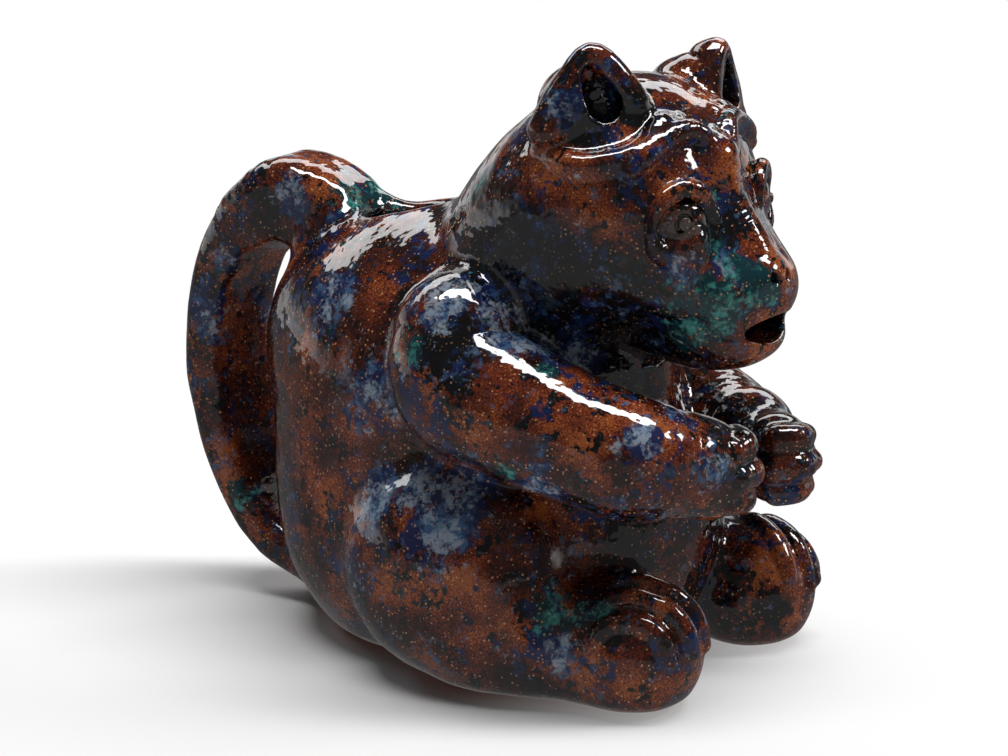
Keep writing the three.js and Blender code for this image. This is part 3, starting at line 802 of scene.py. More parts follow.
@dataclass(frozen=True)
class MottledGlaze:
    """Iron glaze on red stoneware, brushed with cobalt and copper and fired glossy.

    Where the melt ran thin, the red clay shows rusty with cream grit. Where it pooled, it is near black,
    and the oxides tint it navy and teal. The surface is clear and smooth as glass, with slight waves that
    break up the highlights. Lengths are in millimetres.

    Attributes:
        name: What it is.
        ground: Colour below all coats.
        coats: Colours over it, from the lowest.
        detail: Octaves of the patterns.
        patch_share: Share of the patches in a pattern, next to its grains.
        grit: Colour of the grit.
        grit_cell: Spacing of the grit.
        grit_radius: Radius of its largest grains.
        grit_cover: How much it shows through the glaze.
        grit_in_black: How much it shows through the black.
        ripple: Length of the waves.
        ripple_depth: Their depth.
        ripple_strength: Share of that depth that the light sees.
        roughness: Roughness of the surface.
        ior: Refractive index, high enough for the strong shine of the photograph.
        wiped_height: Height to which the foot was wiped.
        dabs: Oxides that were brushed on.
    """

    name: str = "mottled iron glaze on red stoneware"
    ground: str = "#190d0a"
    coats: tuple[Coat, ...] = (
        # Rust film, and in it the grains where the melt is thinner and thinnest
        Coat("#3b160d", 1.1, 15.0, 0.395, 0.535, pulls=(("rust", 0.08), ("iron", -0.1))),
        Coat("#632816", 0.7, 15.0, 0.47, 0.55, cover=0.9, pulls=(("rust", 0.05), ("iron", -0.1))),
        Coat("#a1572a", 0.5, 15.0, 0.55, 0.61, cover=0.8, pulls=(("rust", 0.04), ("iron", -0.1))),
        # Black pepper and black pools
        Coat("#0c0808", 2.0, 6.0, 0.545, 0.575),
        Coat("#0c0b0d", 2.4, 21.0, 0.53, 0.58, pulls=(("pool", 0.06), ("iron", 0.17), ("rust", -0.12))),
        # Cobalt, deep, then paler, and milky where it is thickest; the milky coat is also partly painted
        # sheen on upward-facing tops such as the shoulder, back and thigh, where these dabs lie
        Coat("#14224a", 3.0, 12.0, 0.53, 0.63, 0.95, warp=0.4, pulls=(("cobalt", 0.16), ("rust", -0.04))),
        Coat("#4a6d94", 2.0, 8.0, 0.56, 0.73, cover=0.65, warp=0.6, pulls=(("cobalt", 0.12),)),
        Coat("#9aa9b6", 1.4, 5.0, 0.6, 0.75, cover=0.7, warp=0.8, pulls=(("cobalt", 0.15),)),
        # Copper, deep and then paler
        Coat("#0d3036", 2.5, 9.0, 0.6, 0.7, warp=0.4, pulls=(("copper", 0.2),)),
        Coat("#4a9a92", 1.6, 6.0, 0.64, 0.8, cover=0.75, warp=0.6, pulls=(("copper", 0.17),)),
        # Grey painted reflection of the white floor on the eyes
        Coat("#4a4340", 1.0, 4.0, 0.62, 0.72, cover=0.9, pulls=(("slip", 0.35),)),
        # Bare clay where the foot was wiped
        Coat("#8f4526", 1.2, 3.0, 0.95, 1.05, pulls=(("wiped", 0.7),)),
    )
    detail: float = 3.0
    patch_share: float = 0.55
    grit: str = "#d6a070"
    grit_cell: float = 1.25
    grit_radius: float = 0.34
    grit_cover: float = 0.65
    grit_in_black: float = 0.2
    ripple: float = 3.4
    ripple_depth: float = 0.32
    ripple_strength: float = 0.7
    roughness: float = 0.06
    ior: float = 1.75
    wiped_height: float = 4.0
    dabs: tuple[Dab, ...] = (
        # Cheek, jaw, ear, arm and belly in black
        *dabs_of(
            Oxide.IRON,
            (-41, -37, 125, 14), (-39, -51, 118, 12), (-30, -60, 107, 12), (-35, -43, 105, 12),
            (-40, -30, 113, 8), (-23, -66, 100, 10), (-23, -51, 93, 9), (-18.5, -82.5, 127, 5),
            (-32, -53, 156, 6), (-21, -62, 160, 5), (-21, -51, 163, 6), (-34, -64, 144, 4),
            (-59, -27, 100, 8), (-40, 0, 106, 4), (-23, -64, 42, 12, 0.5), (-33, -57, 39, 10, 0.4),
            (19, -84, 14, 5),
        ),
        # Shoulder, arm, thigh, flank, ear, handle and foot in blue
        *dabs_of(
            Oxide.COBALT,
            (-53, -19, 110, 9, 0.9), (-47, -31, 107, 8), (-45, -39, 101, 9), (-29, -45, 93, 8),
            (-49.5, -78, 79, 6), (-57, -52, 63, 6, 0.9), (-56, -14, 57, 8), (-55, -25, 56, 9),
            (-56, 1, 52, 8), (-60, -23, 48, 10), (-57, 9, 33, 6, 0.6), (-54, -57, 18, 6),
            (-39, 26, 102, 9), (-48, 7, 80, 12, 0.7), (-35, -45, 161, 5), (-13, 57, 124, 6, 0.8),
            (-13, 85, 83, 6, 0.7), (-13, 81, 102, 5, 0.8), (-19, -88, 121, 5), (-25, -76, 121, 5),
            (-32, -91, 68, 6, 0.8),
        ),
        # Muzzle, nape, roots of the handle, arm and foot in teal
        *dabs_of(
            Oxide.COPPER,
            (-18, -89, 120, 6), (-23, -87, 112, 8), (-15, -95, 114, 6), (-23, -79, 103, 7),
            (-25, -77, 112, 6, 0.8), (-19, -85, 104, 6), (-20, -83, 125, 4), (-28, -16, 137, 6),
            (-7, 40, 125, 6), (5, 38, 123, 6), (-13, 77, 32, 7, 0.8), (-50, -55, 28, 8),
            (-49, -66, 30, 4), (-61, -14, 97, 6, 0.9), (-50, -50, 94, 3.5), (-60, -42, 67, 5, 0.8),
            (-15, -79, 138, 3), (-4, -75, 153, 4, 0.8),
        ),
        # Temple, brow, arm, back, flank, feet, nose and handle left thin and rusty
        *dabs_of(
            Oxide.RUST,
            (0, 79, 58, 10), (0, 80, 80, 10), (-39, -47, 143, 11), (-37, -59, 138.5, 10),
            (-32, -68, 134.5, 6), (-26, -71, 148, 7), (-60, -45, 87, 12), (-59, -60, 78, 12),
            (-51, -67, 86, 9), (-59, -54, 69, 9), (-43, 9, 99, 9), (-31, 13, 114, 8, 0.6),
            (-47, 25, 63, 16), (-45, 30, 82, 13, 0.9), (-55, -39, 44, 7), (-53, -63, 11, 10, 0.6),
            (-51, -80, 13, 10, 0.6), (19, -83, 21, 10, 0.4), (0, -97, 121, 9), (-5, 56, 131, 10),
            (-60, -35, 30, 12, 0.4), (-63, -12, 27, 9, 0.4), (-2, -70, 158, 10, 0.6),
        ),
        # Grey painted reflection on the eyes, one dab for each eye because the turn of the head sets them
        # unevenly
        Dab(Oxide.SLIP, (-26.5, -77.5, 132), 4.0, both=False),
        Dab(Oxide.SLIP, (18.5, -81, 132), 4.0, both=False),
    )

    def layers(self, points: Array) -> dict[str, Array]:
        """Spreads the dabs of oxide and of painted reflection over a piece. Those on one flank were brushed
        on the other too.

        Args:
            points: Places on its surface, in millimetres.

        Returns:
            One layer for each oxide and one for the wiped foot, from 0 to 1.
        """
        spread = {oxide.value: np.zeros(len(points)) for oxide in Oxide}
        for dab in self.dabs:
            layer = spread[dab.oxide.value]
            for mirrored in (1, -1) if dab.both else (1,):
                centre = np.array(dab.centre) * (mirrored, 1, 1)
                gap = np.linalg.norm(points - centre, axis=1) / dab.radius
                np.maximum(layer, dab.strength * np.clip(1.5 - gap, 0, 1), out=layer)
        spread["wiped"] = np.clip(1.5 - points[:, 2] / self.wiped_height, 0, 1)
        return spread

    def material(self) -> bpy.types.Material:
        """Builds the glaze's shader.

        Returns:
            The material.
        """
        made = bpy.data.materials.new(self.name)
        tree = cleared(made)
        place = add_node(tree, "TexCoord", {})["Object"]
        colour: object = linear(self.ground)
        for coat in self.coats:
            noise = {"Vector": place, "Detail": self.detail}
            grains = noise | {"Scale": 1 / (coat.grain * MM), "Distortion": coat.warp}
            patches = noise | {"Scale": 1 / (coat.patch * MM)}
            fine = add_node(tree, "TexNoise", grains)["Fac"]
            broad = add_node(tree, "TexNoise", patches)["Fac"]
            level = add_node(tree, "Mix", {"Factor": self.patch_share, 2: fine, 3: broad})[0]
            for layer, pull in coat.pulls:
                amount = add_node(tree, "Attribute", {}, attribute_name=layer)["Fac"]
                sums = {0: amount, 1: pull, 2: level}
                level = add_node(tree, "Math", sums, operation="MULTIPLY_ADD")[0]
            share = ramp(tree, level, (coat.start, coat.full), (0.0, coat.cover))
            over = {"Factor": share, 6: colour, 7: linear(coat.colour)}
            colour = add_node(tree, "Mix", over, data_type="RGBA")[2]
        cells = {"Vector": place, "Scale": 1 / (self.grit_cell * MM)}
        specks = add_node(tree, "TexVoronoi", cells, feature="F1")
        largest = self.grit_radius / self.grit_cell
        sizes = {"Value": specks["Color"], "From Min": 0.1, "From Max": 0.9, "To Max": largest}
        size = add_node(tree, "MapRange", sizes)["Result"]
        inside = {0: specks["Distance"], 1: size}
        speck = add_node(tree, "Math", inside, operation="LESS_THAN")[0]
        black = add_node(tree, "Attribute", {}, attribute_name=Oxide.IRON.value)["Fac"]
        bare = {0: black, 1: self.grit_in_black - self.grit_cover, 2: self.grit_cover}
        clear = add_node(tree, "Math", bare, operation="MULTIPLY_ADD")[0]
        faint = add_node(tree, "Math", {0: speck, 1: clear}, operation="MULTIPLY")[0]
        over = {"Factor": faint, 6: colour, 7: linear(self.grit)}
        colour = add_node(tree, "Mix", over, data_type="RGBA")[2]
        swell = {"Vector": place, "Scale": 1 / (self.ripple * MM), "Detail": 1.0, "Roughness": 0.4}
        waves = add_node(tree, "TexNoise", swell)["Fac"]
        relief = {"Strength": self.ripple_strength, "Distance": self.ripple_depth * MM, "Height": waves}
        bump = add_node(tree, "Bump", relief)["Normal"]
        glass = {"Base Color": colour, "Roughness": self.roughness, "IOR": self.ior, "Normal": bump}
        skin = add_node(tree, "BsdfPrincipled", glass)["BSDF"]
        add_node(tree, "OutputMaterial", {"Surface": skin})
        return made


# Sub-assemblies


def worked(forms: tuple[tuple[Shape, float], ...], turn: Turn) -> tuple[Lump, ...]:
    """Returns forms with their softness as lumps, carried by a turn."""
    return tuple(Lump(shape.carried(turn), soft) for shape, soft in forms)


class SubAssembly(ABC):
    """A part of the jug that is shaped, skinned and glazed together."""

    @abstractmethod
    def pieces(self) -> list[Piece]:
        """Returns the named pieces of clay."""

    def cuts(self) -> list[Lump]:
        """Returns what is cut from the clay afterwards."""
        return []


def dress(piece: Piece, skin: Skin, finish: bpy.types.Material) -> None:
    """Makes the object of one piece and hands it to the frame.

    Args:
        piece: The piece.
        skin: Its mesh.
        finish: Its material.
    """
    mesh = bpy.data.meshes.new(f"{piece.name} skin")
    count = len(skin.faces)
    mesh.vertices.add(len(skin.points))
    mesh.vertices.foreach_set("co", (skin.points * MM).astype(np.float32).ravel())
    mesh.loops.add(4 * count)
    mesh.loops.foreach_set("vertex_index", skin.faces.astype(np.int32).ravel())
    mesh.polygons.add(count)
    mesh.polygons.foreach_set("loop_start", np.arange(0, 4 * count, 4, dtype=np.int32))
    mesh.update(calc_edges=True)
    mesh.validate()
    mesh.polygons.foreach_set("use_smooth", np.ones(len(mesh.polygons), bool))
    mesh.normals_split_custom_set_from_vertices(skin.normals.tolist())
    for name, values in skin.layers.items():
        mesh.attributes.new(name, "FLOAT", "POINT").data.foreach_set("value", values.astype(np.float32))
    mesh.materials.append(finish)
    made = bpy.data.objects.new(f"glazed_{piece.name}", mesh)
    bpy.context.scene.collection.objects.link(made)
    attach(made, BODY)
    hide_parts(piece.name)
    LOG.info("%s: %d faces", piece.name, count)


@dataclass
class Trunk(SubAssembly):
    """The hollow body: two bowls joined rim to rim at the waist, with the filler hole in the upper back.

    Attributes:
        waist_lap: How far each bowl reaches past the joint, so that no crack shows.
        lap: The soft swelling of the belly between the thighs.
        lumps: The forms that both bowls share.
    """

    belly: Egg = Egg((0, 0, 35), (52, 61.5, 50.5))
    back: Egg = Egg((0, 5, 84), (46, 62, 42))
    waist_height: float = 62.0
    waist_soft: float = 30.0
    waist_lap: float = 0.8
    lap: Egg = Egg((0, -30, 36), (40, 40, 38))
    lap_soft: float = 16.0
    wall: float = 6.0
    floor: float = 8.0
    filler_at: Vec = (0, 24.5, 123)
    filler_radii: Vec = (10, 12, 44)
    filler_soft: float = 7.0
    step: float = 1.1
    lumps: tuple[Lump, ...] = ()

    def __post_init__(self) -> None:
        """Works the two bowls into one body."""
        self.lumps = (
            Lump(self.belly, 1.0),
            Lump(self.back, self.waist_soft),
            Lump(self.lap, self.lap_soft),
        )

    def pieces(self) -> list[Piece]:
        """Returns the named pieces of clay."""
        below = Seam(self.waist_height + self.waist_lap, False)
        above = Seam(self.waist_height - self.waist_lap, True)
        return [
            Piece("belly_bowl", Slot.RUST, self.lumps, join=1.0, step=self.step, seam=below),
            Piece("back_bowl", Slot.RUST, self.lumps, join=1.0, step=self.step, seam=above),
        ]

    def inside(self) -> Egg:
        """Returns the hollow of the belly, which stops at a thick floor."""
        wide, long, high = self.belly.grown(-self.wall).radii
        return Egg((0, 0, self.floor + high), (wide, long, high))

    def cuts(self) -> list[Lump]:
        """Returns what is cut from the clay afterwards."""
        return [
            Lump(self.inside(), 2.0),
            Lump(self.back.grown(-self.wall), 2.0),
            Lump(Egg(self.filler_at, self.filler_radii), self.filler_soft),
        ]


@dataclass
class Head(SubAssembly):
    """The hollow head: skull and neck, muzzle and jaw with the pouring mouth between them, and the nose.

    It is laid out facing straight ahead, and then turned.

    Attributes:
        strip_radii: Radii of the raised strip, from the brow down to the nose.
        strip_height: How far the strip stands off the skin.
        strip_sides: Share of the nose's sideways turn along the strip.
        strip_lifts: Degrees above level on the skull, twice, and on the muzzle.
        nostril: Ends of a nostril, in millimetres back and up from the middle of the nose.
        runs: Runs of glaze below the right eye.
        crease: Line pressed at the right corner of the mouth.
    """

    trunk: Trunk
    skull: Egg = Egg((0, -48, 131), (40, 34, 35))
    neck: Egg = Egg((0, -27.9, 113.1), (38, 34, 38.5), lean=30)
    muzzle: Egg = Egg((0, -75, 112), (23, 24, 16.5))
    jaw: Egg = Egg((0, -75, 99), (19, 21, 11))
    mouth: Egg = Egg((0, -75, 101.8), (11.5, 48, 4.1))
    turn: Turn = Turn((0, -37.4, 121.6), -5.0)
    neck_bore: float = 16.0
    nose_side: float = -8.0
    nose_lift: float = 20.0
    nose_sink: float = 4.0
    nose_radii: Vec = (7.5, 5.25, 5.25)
    nostril_spread: float = 2.9
    nostril_radius: float = 1.6
    nostril: Pairs = ((-7.5, -0.5), (-2.5, 0.8))
    strip_radii: Radii = (9.0, 8.2, 7.0, 5.6)
    strip_height: float = 4.4
    strip_sides: Vec = (0.3, 0.4, 1.0)
    strip_lifts: Vec = (27, 3, 62)
    runs: tuple[tuple[Vec, Vec], ...] = (
        ((-19.4, -82.2, 126.5), (-19.5, -83.5, 118.5)),
        ((-21.9, -80.3, 124.5), (-21.1, -82.6, 112)),
    )
    run_radius: float = 0.9
    crease: tuple[Vec, ...] = ((-20.2, -82.4, 104), (-17.2, -87.7, 101.5), (-13.8, -91.4, 100.5))
    crease_radius: float = 0.9

    def nose_at(self) -> Vec:
        """Returns the middle of the nose pad."""
        return self.muzzle.on_skin(self.nose_side, self.nose_lift, -self.nose_sink)

    def pieces(self) -> list[Piece]:
        """Returns the named pieces of clay."""
        nose = self.nose_at()
        eggs = (self.skull, self.skull, self.muzzle)
        over = [
            egg.on_skin(self.nose_side * side, lift, self.strip_height - radius)
            for egg, side, lift, radius in zip(eggs, self.strip_sides, self.strip_lifts, self.strip_radii)
        ]
        strip = Coil((*over, (nose[0], nose[1] + 1, nose[2] + 0.5)), self.strip_radii)
        runs = tuple((Coil(run, (self.run_radius,) * len(run)), 1.0) for run in self.runs)
        # Name, slot, forms and their softness, softness of the join, spacing of the mesh
        made = [
            ("head_shell", Slot.RUST, ((self.skull, 1.0), (self.neck, 16.0)), 7.0, 0.9),
            ("muzzle", Slot.TEAL, ((self.muzzle, 1.0), *runs), 14.0, 0.6),
            ("lower_jaw", Slot.DARK, ((self.jaw, 1.0),), 4.5, 0.6),
            ("nose_strip", Slot.RUST, ((strip, 1.0),), 2.5, 0.5),
            ("nose_pad", Slot.DARK, ((Egg(nose, self.nose_radii), 1.0),), 2.5, 0.4),
        ]
        return [
            Piece(name, slot, worked(forms, self.turn), join, step) for name, slot, forms, join, step in made
        ]

    def cuts(self) -> list[Lump]:
        """Returns what is cut from the clay afterwards."""
        nose = self.nose_at()
        tools = [
            (self.skull.grown(-self.trunk.wall), 2.0),
            (self.neck.grown(-self.trunk.wall), 2.0),
            (self.mouth, 1.6),
            (Coil(self.crease, (self.crease_radius,) * len(self.crease)), 0.8),
            (Coil((self.trunk.back.centre, self.skull.centre), (self.neck_bore, self.neck_bore)), 2.0),
        ]
        for side in Side:
            x = nose[0] + side.value * self.nostril_spread
            hole = tuple((x, nose[1] + back, nose[2] + up) for back, up in self.nostril)
            tools.append((Coil(hole, (self.nostril_radius,) * len(hole)), 0.8))
        return list(worked(tuple(tools), self.turn))


@dataclass
class Ear(SubAssembly):
    """A pinched ear: a cone with a rolled rim round a cup that opens forward and outward.

    Attributes:
        at: Degrees from straight ahead and above level on the skull.
        facing: Degrees that the cup turns outward.
        breadth: Share of the rim's full breadth.
        rim: Points in front of the ear's base, in millimetres towards the nose and up.
        fold: The fold of clay below the ear, in degrees from straight ahead and above level.
    """

    side: Side
    head: Head
    at: tuple[float, float]
    facing: float
    breadth: float = 1.0
    sink: float = 5.5
    height: float = 16.0
    lean: float = 5.0
    front: float = 8.0
    radii: tuple[float, float] = (15.0, 5.0)
    rim: Pairs = ((-12.6, -1), (-8.8, 7.4), (-0.8, 18.7), (7.4, 11.1), (11, 4.3), (9, -1.1))
    rim_radii: Radii = (5.0, 4.4, 3.7, 4.2, 4.6, 4.6)
    sill: Pairs = ((-12.6, -1), (-1, 0), (9, -1.1))
    sill_radius: float = 3.0
    cup: Pairs = ((1.9, 5.9), (-1.4, 13.7))
    cup_radii: tuple[float, float] = (5.2, 2.3)
    cup_reach: float = 2.0
    fold: Pairs = ((104, 32), (79, 27), (57, 30), (43, 37), (33, 46), (20, 48))
    fold_radius: float = 3.6
    fold_sink: float = 0.8
    fold_tip: float = 0.55
    step: float = 0.6

    def before(self, route: Pairs, forward: float) -> tuple[Vec, ...]:
        """Lays a line in front of the ear's base, on the unturned head.

        Args:
            route: Points in millimetres towards the nose and up.
            forward: Millimetres in front of the base, the way that the cup faces.

        Returns:
            The points.
        """
        sign = self.side.value
        x, y, z = self.head.skull.on_skin(sign * self.at[0], self.at[1], -self.sink)
        c, s = math.cos(math.radians(self.facing)), math.sin(math.radians(self.facing))
        return tuple(
            (
                x + sign * (s * forward - c * across * self.breadth),
                y - c * forward - s * across * self.breadth,
                z + up,
            )
            for across, up in route
        )

    def pieces(self) -> list[Piece]:
        """Returns the named pieces of clay."""
        base, tip = self.before(((0, 0),), 0)[0], self.before(((0, self.height),), self.lean)[0]
        skull, sign = self.head.skull, self.side.value
        fold = tuple(skull.on_skin(sign * side, lift, -self.fold_sink) for side, lift in self.fold)
        fold_radii = [self.fold_radius] * len(fold)
        fold_radii[0] = fold_radii[-1] = self.fold_radius * self.fold_tip
        sill = self.before(self.sill, self.front + self.cup_reach)
        forms = (
            (Coil((base, tip), self.radii), 1.0),
            (Coil(self.before(self.rim, self.front), self.rim_radii), 3.0),
            (Coil(sill, (self.sill_radius,) * len(sill)), 2.0),
            (Coil(fold, tuple(fold_radii)), 2.0),
        )
        return [Piece(f"{self.side.label}_ear", Slot.DARK, worked(forms, self.head.turn), 2.5, self.step)]

    def cuts(self) -> list[Lump]:
        """Returns what is cut from the clay afterwards."""
        cup = Coil(self.before(self.cup, self.front + self.cup_reach), self.cup_radii)
        return [Lump(cup.carried(self.head.turn), 2.5)]


@dataclass(frozen=True)
class Roll:
    """A thin coil laid round the eye.

    Attributes:
        route: Points in eye widths inward and eye heights upward.
        radius: Its radius in the middle, in millimetres.
        proud: How far its centreline stands off the skull, in millimetres.
    """

    route: Pairs
    radius: float
    proud: float


@dataclass
class Eye(SubAssembly):
    """An eye with a pressed iris, rolled lids, a bag and a brow.

    Attributes:
        look: Degrees outward from straight ahead on the skull.
        lift: Degrees above level on the skull.
        radii: Half the eyeball's width, depth and height.
        proud: How far its middle stands off the skull.
        iris: Radius of the pressed ring.
        groove: Radius of the ring's section.
        pupil: Radius of the raised pupil.
        socket: Line pressed under the upper lid.
    """

    side: Side
    head: Head
    look: float = 31.0
    lift: float = 1.5
    radii: Vec = (7.4, 2.8, 5.2)
    proud: float = 0.2
    iris: float = 2.1
    groove: float = 0.6
    pupil: float = 1.1
    upper_lid: Roll = Roll(((-0.6, 0.0), (-0.38, 0.54), (0.05, 0.84), (0.45, 0.64), (0.7, 0.05)), 2.5, 1.6)
    lower_rim: Roll = Roll(((-0.52, -0.05), (-0.23, -0.4), (0.1, -0.52), (0.48, -0.25)), 0.9, 0.6)
    bag: Roll = Roll(((-0.62, -0.2), (-0.42, -0.7), (-0.12, -1.05)), 2.5, 2.0)
    brow: Roll = Roll(((-0.98, 1.3), (-0.57, 1.8), (0.3, 2.3), (0.88, 2.15), (1.2, 1.55)), 3.7, 0.8)
    socket: Roll = Roll(((-0.5, 0.0), (-0.32, 0.36), (0.05, 0.56), (0.42, 0.42), (0.6, 0.05)), 1.0, 0.8)
    tip: float = 0.6
    step: float = 0.42

    def coil(self, roll: Roll) -> Coil:
        """Lays a coil with thinner ends on the unturned skull.

        Args:
            roll: Its route and sizes.

        Returns:
            The coil.
        """
        skull, sign, last = self.head.skull, self.side.value, len(roll.route) - 1
        across, upward = (math.degrees(2 * self.radii[i] / skull.radii[i]) for i in (0, 2))
        points = tuple(
            skull.on_skin(sign * (self.look - a * across), self.lift + b * upward, roll.proud)
            for a, b in roll.route
        )
        swell = [self.tip + (1 - self.tip) * math.sin(math.pi * i / last) for i in range(last + 1)]
        return Coil(points, tuple(roll.radius * share for share in swell))

    def at(self, proud: float) -> Vec:
        """Returns a point on the eye's axis, by its distance from the skull."""
        return self.head.skull.on_skin(self.side.value * self.look, self.lift, proud)

    def front(self) -> Vec:
        """Returns the foremost point of the eyeball."""
        return self.at(self.proud + self.radii[1])

    def pieces(self) -> list[Piece]:
        """Returns the named pieces of clay."""
        facing = self.side.value * self.look
        ball = Egg(self.at(self.proud), self.radii, turn=facing)
        pupil = Egg(self.front(), (self.pupil, self.pupil / 2, self.pupil), turn=facing)
        # Name, slot, forms, softness of the join
        made = [
            ("eye", Slot.DARK, (ball, pupil), 0.8),
            ("upper_lid", Slot.RUST, (self.coil(self.upper_lid),), 0.8),
            ("lower_lid", Slot.RUST, (self.coil(self.lower_rim), self.coil(self.bag)), 1.2),
            ("brow", Slot.RUST, (self.coil(self.brow),), 1.8),
        ]
        return [
            Piece(
                f"{self.side.label}_{name}",
                slot,
                worked(tuple((shape, 1.2) for shape in shapes), self.head.turn),
                join,
                self.step,
            )
            for name, slot, shapes, join in made
        ]

    def cuts(self) -> list[Lump]:
        """Returns what is cut from the clay afterwards."""
        iris = Ring(self.front(), self.side.value * self.look, self.iris, self.groove)
        return list(worked(((iris, 0.4), (self.coil(self.socket), 0.4)), self.head.turn))


@dataclass
class Leg(SubAssembly):
    """A hind leg: a thigh pressed on the belly and a foot before it, sole upright, with three rolled toes.

    Attributes:
        thigh_side: Degrees outward from straight ahead on the belly.
        thigh_lift: Degrees above level on the belly.
        reach: Foot in front of the thigh's middle.
        tuck: Foot inward of the thigh's middle.
        toe_sides: Degrees outward across the top of the foot.
        toe_route: Degrees from the sole over the top of the foot, and further outward.
        toe_taper: Share of the toe's radius along that route.
    """

    side: Side
    trunk: Trunk
    thigh_side: float = 72.0
    thigh_lift: float = -4.5
    thigh_sink: float = 7.5
    thigh_radii: Vec = (23.5, 33.5, 32)
    ankle_radius: float = 19.0
    ankle_reach: float = 14.0
    reach: float = 52.0
    tuck: float = 7.0
    foot_height: float = 15.0
    foot_radii: Vec = (18, 18, 18.5)
    foot_taper: float = 0.95
    toe_radius: float = 3.5
    toe_proud: float = 0.6
    toe_sides: Radii = (37.0, 11.0, -15.0)
    toe_route: Pairs = ((120, 34), (85, 17), (60, 6), (42, -2), (25, -5), (8, -7))
    toe_taper: Radii = (0.7, 0.95, 1.0, 1.0, 0.95, 0.8)

    def pieces(self) -> list[Piece]:
        """Returns the named pieces of clay."""
        sign, label = self.side.value, self.side.label
        hip = self.trunk.belly.on_skin(sign * self.thigh_side, self.thigh_lift, -self.thigh_sink)
        sole = (hip[0] - sign * self.tuck, hip[1] - self.reach, self.foot_height)
        ankle = Coil(
            ((hip[0], hip[1] - self.ankle_reach, self.foot_height), sole),
            (self.ankle_radius, self.foot_radii[0] * self.foot_taper),
        )
        thigh = (Lump(Egg(hip, self.thigh_radii), 1.0),)
        foot = (Lump(Egg(sole, self.foot_radii), 1.0), Lump(ankle, 8.0))
        made = [
            Piece(f"{label}_thigh", Slot.BLUE, thigh, join=3.5, step=1.0),
            Piece(f"{label}_foot", Slot.RUST, foot, join=7.0, step=0.85),
        ]
        bed = [r + self.toe_proud for r in self.foot_radii]
        radii = tuple(self.toe_radius * share for share in self.toe_taper)
        for i, outward in enumerate(self.toe_sides):
            points = []
            for degrees, further in self.toe_route:
                over, across = math.radians(degrees), sign * math.radians(outward + further)
                points.append(
                    (
                        sole[0] + math.sin(across) * bed[0],
                        sole[1] - math.cos(across) * math.cos(over) * bed[1],
                        sole[2] + math.cos(across) * math.sin(over) * bed[2],
                    )
                )
            toe = (Lump(Coil(tuple(points), radii), 1.0),)
            made.append(Piece(f"{label}_toe_{i + 1}", Slot.DARK, toe, join=0.9, step=0.6))
        return made


@dataclass
class Arm(SubAssembly):
    """An arm, a thick coil from shoulder to wrist, with a paw of three digits held before the chest.

    Attributes:
        route: Degrees outward and above level on the back bowl, and share of the standoff.
        paw_pose: The same for the paw.
        standoff: How far the wrist is held off the chest.
        digit_start: Degrees round the paw to the root of a digit.
        digit_side: Degrees round the paw to its tip.
        digit_lifts: Degrees above level on the paw.
    """

    side: Side
    trunk: Trunk
    route: tuple[Vec, ...]
    paw_pose: Vec
    radii: Radii = (18, 19.5, 17.5, 14.5)
    standoff: float = 30.0
    paw_radii: Vec = (11.5, 11.5, 13)
    digit_radius: float = 4.6
    digit_start: float = -14.0
    digit_side: float = 62.0
    digit_lifts: Radii = (38.0, 0.0, -38.0)
    digit_sink: float = 1.4
    digit_root: float = 0.8

    def before_chest(self, pose: Vec) -> Vec:
        """Returns a point by its angles on the back bowl and its share of the wrist's standoff."""
        return self.trunk.back.on_skin(self.side.value * pose[0], pose[1], pose[2] * self.standoff)

    def pieces(self) -> list[Piece]:
        """Returns the named pieces of clay."""
        label = self.side.label
        limb = Coil(tuple(self.before_chest(pose) for pose in self.route), self.radii)
        paw = Egg(self.before_chest(self.paw_pose), self.paw_radii)
        made = [
            Piece(f"{label}_arm", Slot.RUST, (Lump(limb, 1.0),), join=5.0, step=0.85),
            Piece(f"{label}_paw", Slot.BLUE, (Lump(paw, 1.0),), join=6.0, step=0.6),
        ]
        sides = (self.digit_start, (self.digit_start + self.digit_side) / 2, self.digit_side)
        radii = (self.digit_radius * self.digit_root, self.digit_radius, self.digit_radius)
        for i, lift in enumerate(self.digit_lifts):
            line = tuple(paw.on_skin(-self.side.value * side, lift, -self.digit_sink) for side in sides)
            digit = (Lump(Coil(line, radii), 1.0),)
            made.append(Piece(f"{label}_digit_{i + 1}", Slot.DARK, digit, join=1.6, step=0.45))
        return made


@dataclass
class TailHandle(SubAssembly):
    """The tail, a thick strap that springs from behind the filler, loops down the back and joins the base.

    Attributes:
        slant: How far its inner face leans to the right, as a slope.
        route: Y and Z of the centreline, and the strap's thickness there.
    """

    trunk: Trunk
    half_width: float = 13.4
    inner_edge: float = 5.0
    outer_edge: float = 9.0
    slant: float = 0.2
    route: tuple[Vec, ...] = (
        *((41, 104, 22), (51, 117, 26), (63, 120.3, 27), (75, 114.5, 22), (83.6, 105.5, 17)),
        *((89.8, 89.5, 15.6), (91.5, 73, 15.6), (89.8, 57, 15.6), (84.8, 40, 15.6), (78.5, 28, 15.6)),
        *((69, 18, 15.6), (52, 10, 15)),
    )

    def pieces(self) -> list[Piece]:
        """Returns the named pieces of clay."""
        points = tuple((0.0, y, z) for y, z, _ in self.route)
        thicknesses = tuple(thick for _, _, thick in self.route)
        strap = Strap(points, thicknesses, self.half_width, self.inner_edge, self.outer_edge, self.slant)
        return [Piece("tail_handle", Slot.RUST, (Lump(strap, 1.0),), join=8.0, step=0.85)]


# Studio


@dataclass(frozen=True)
class Softbox:
    """A soft lamp.

    Attributes:
        name: What it does.
        place: Where it hangs, in metres.
        size: Width and height, in metres.
        power: Watts.
        along: Way that its width runs.
    """

    name: str
    place: Vec
    size: tuple[float, float]
    power: float
    along: Vec = (0.515, -0.857, 0.0)


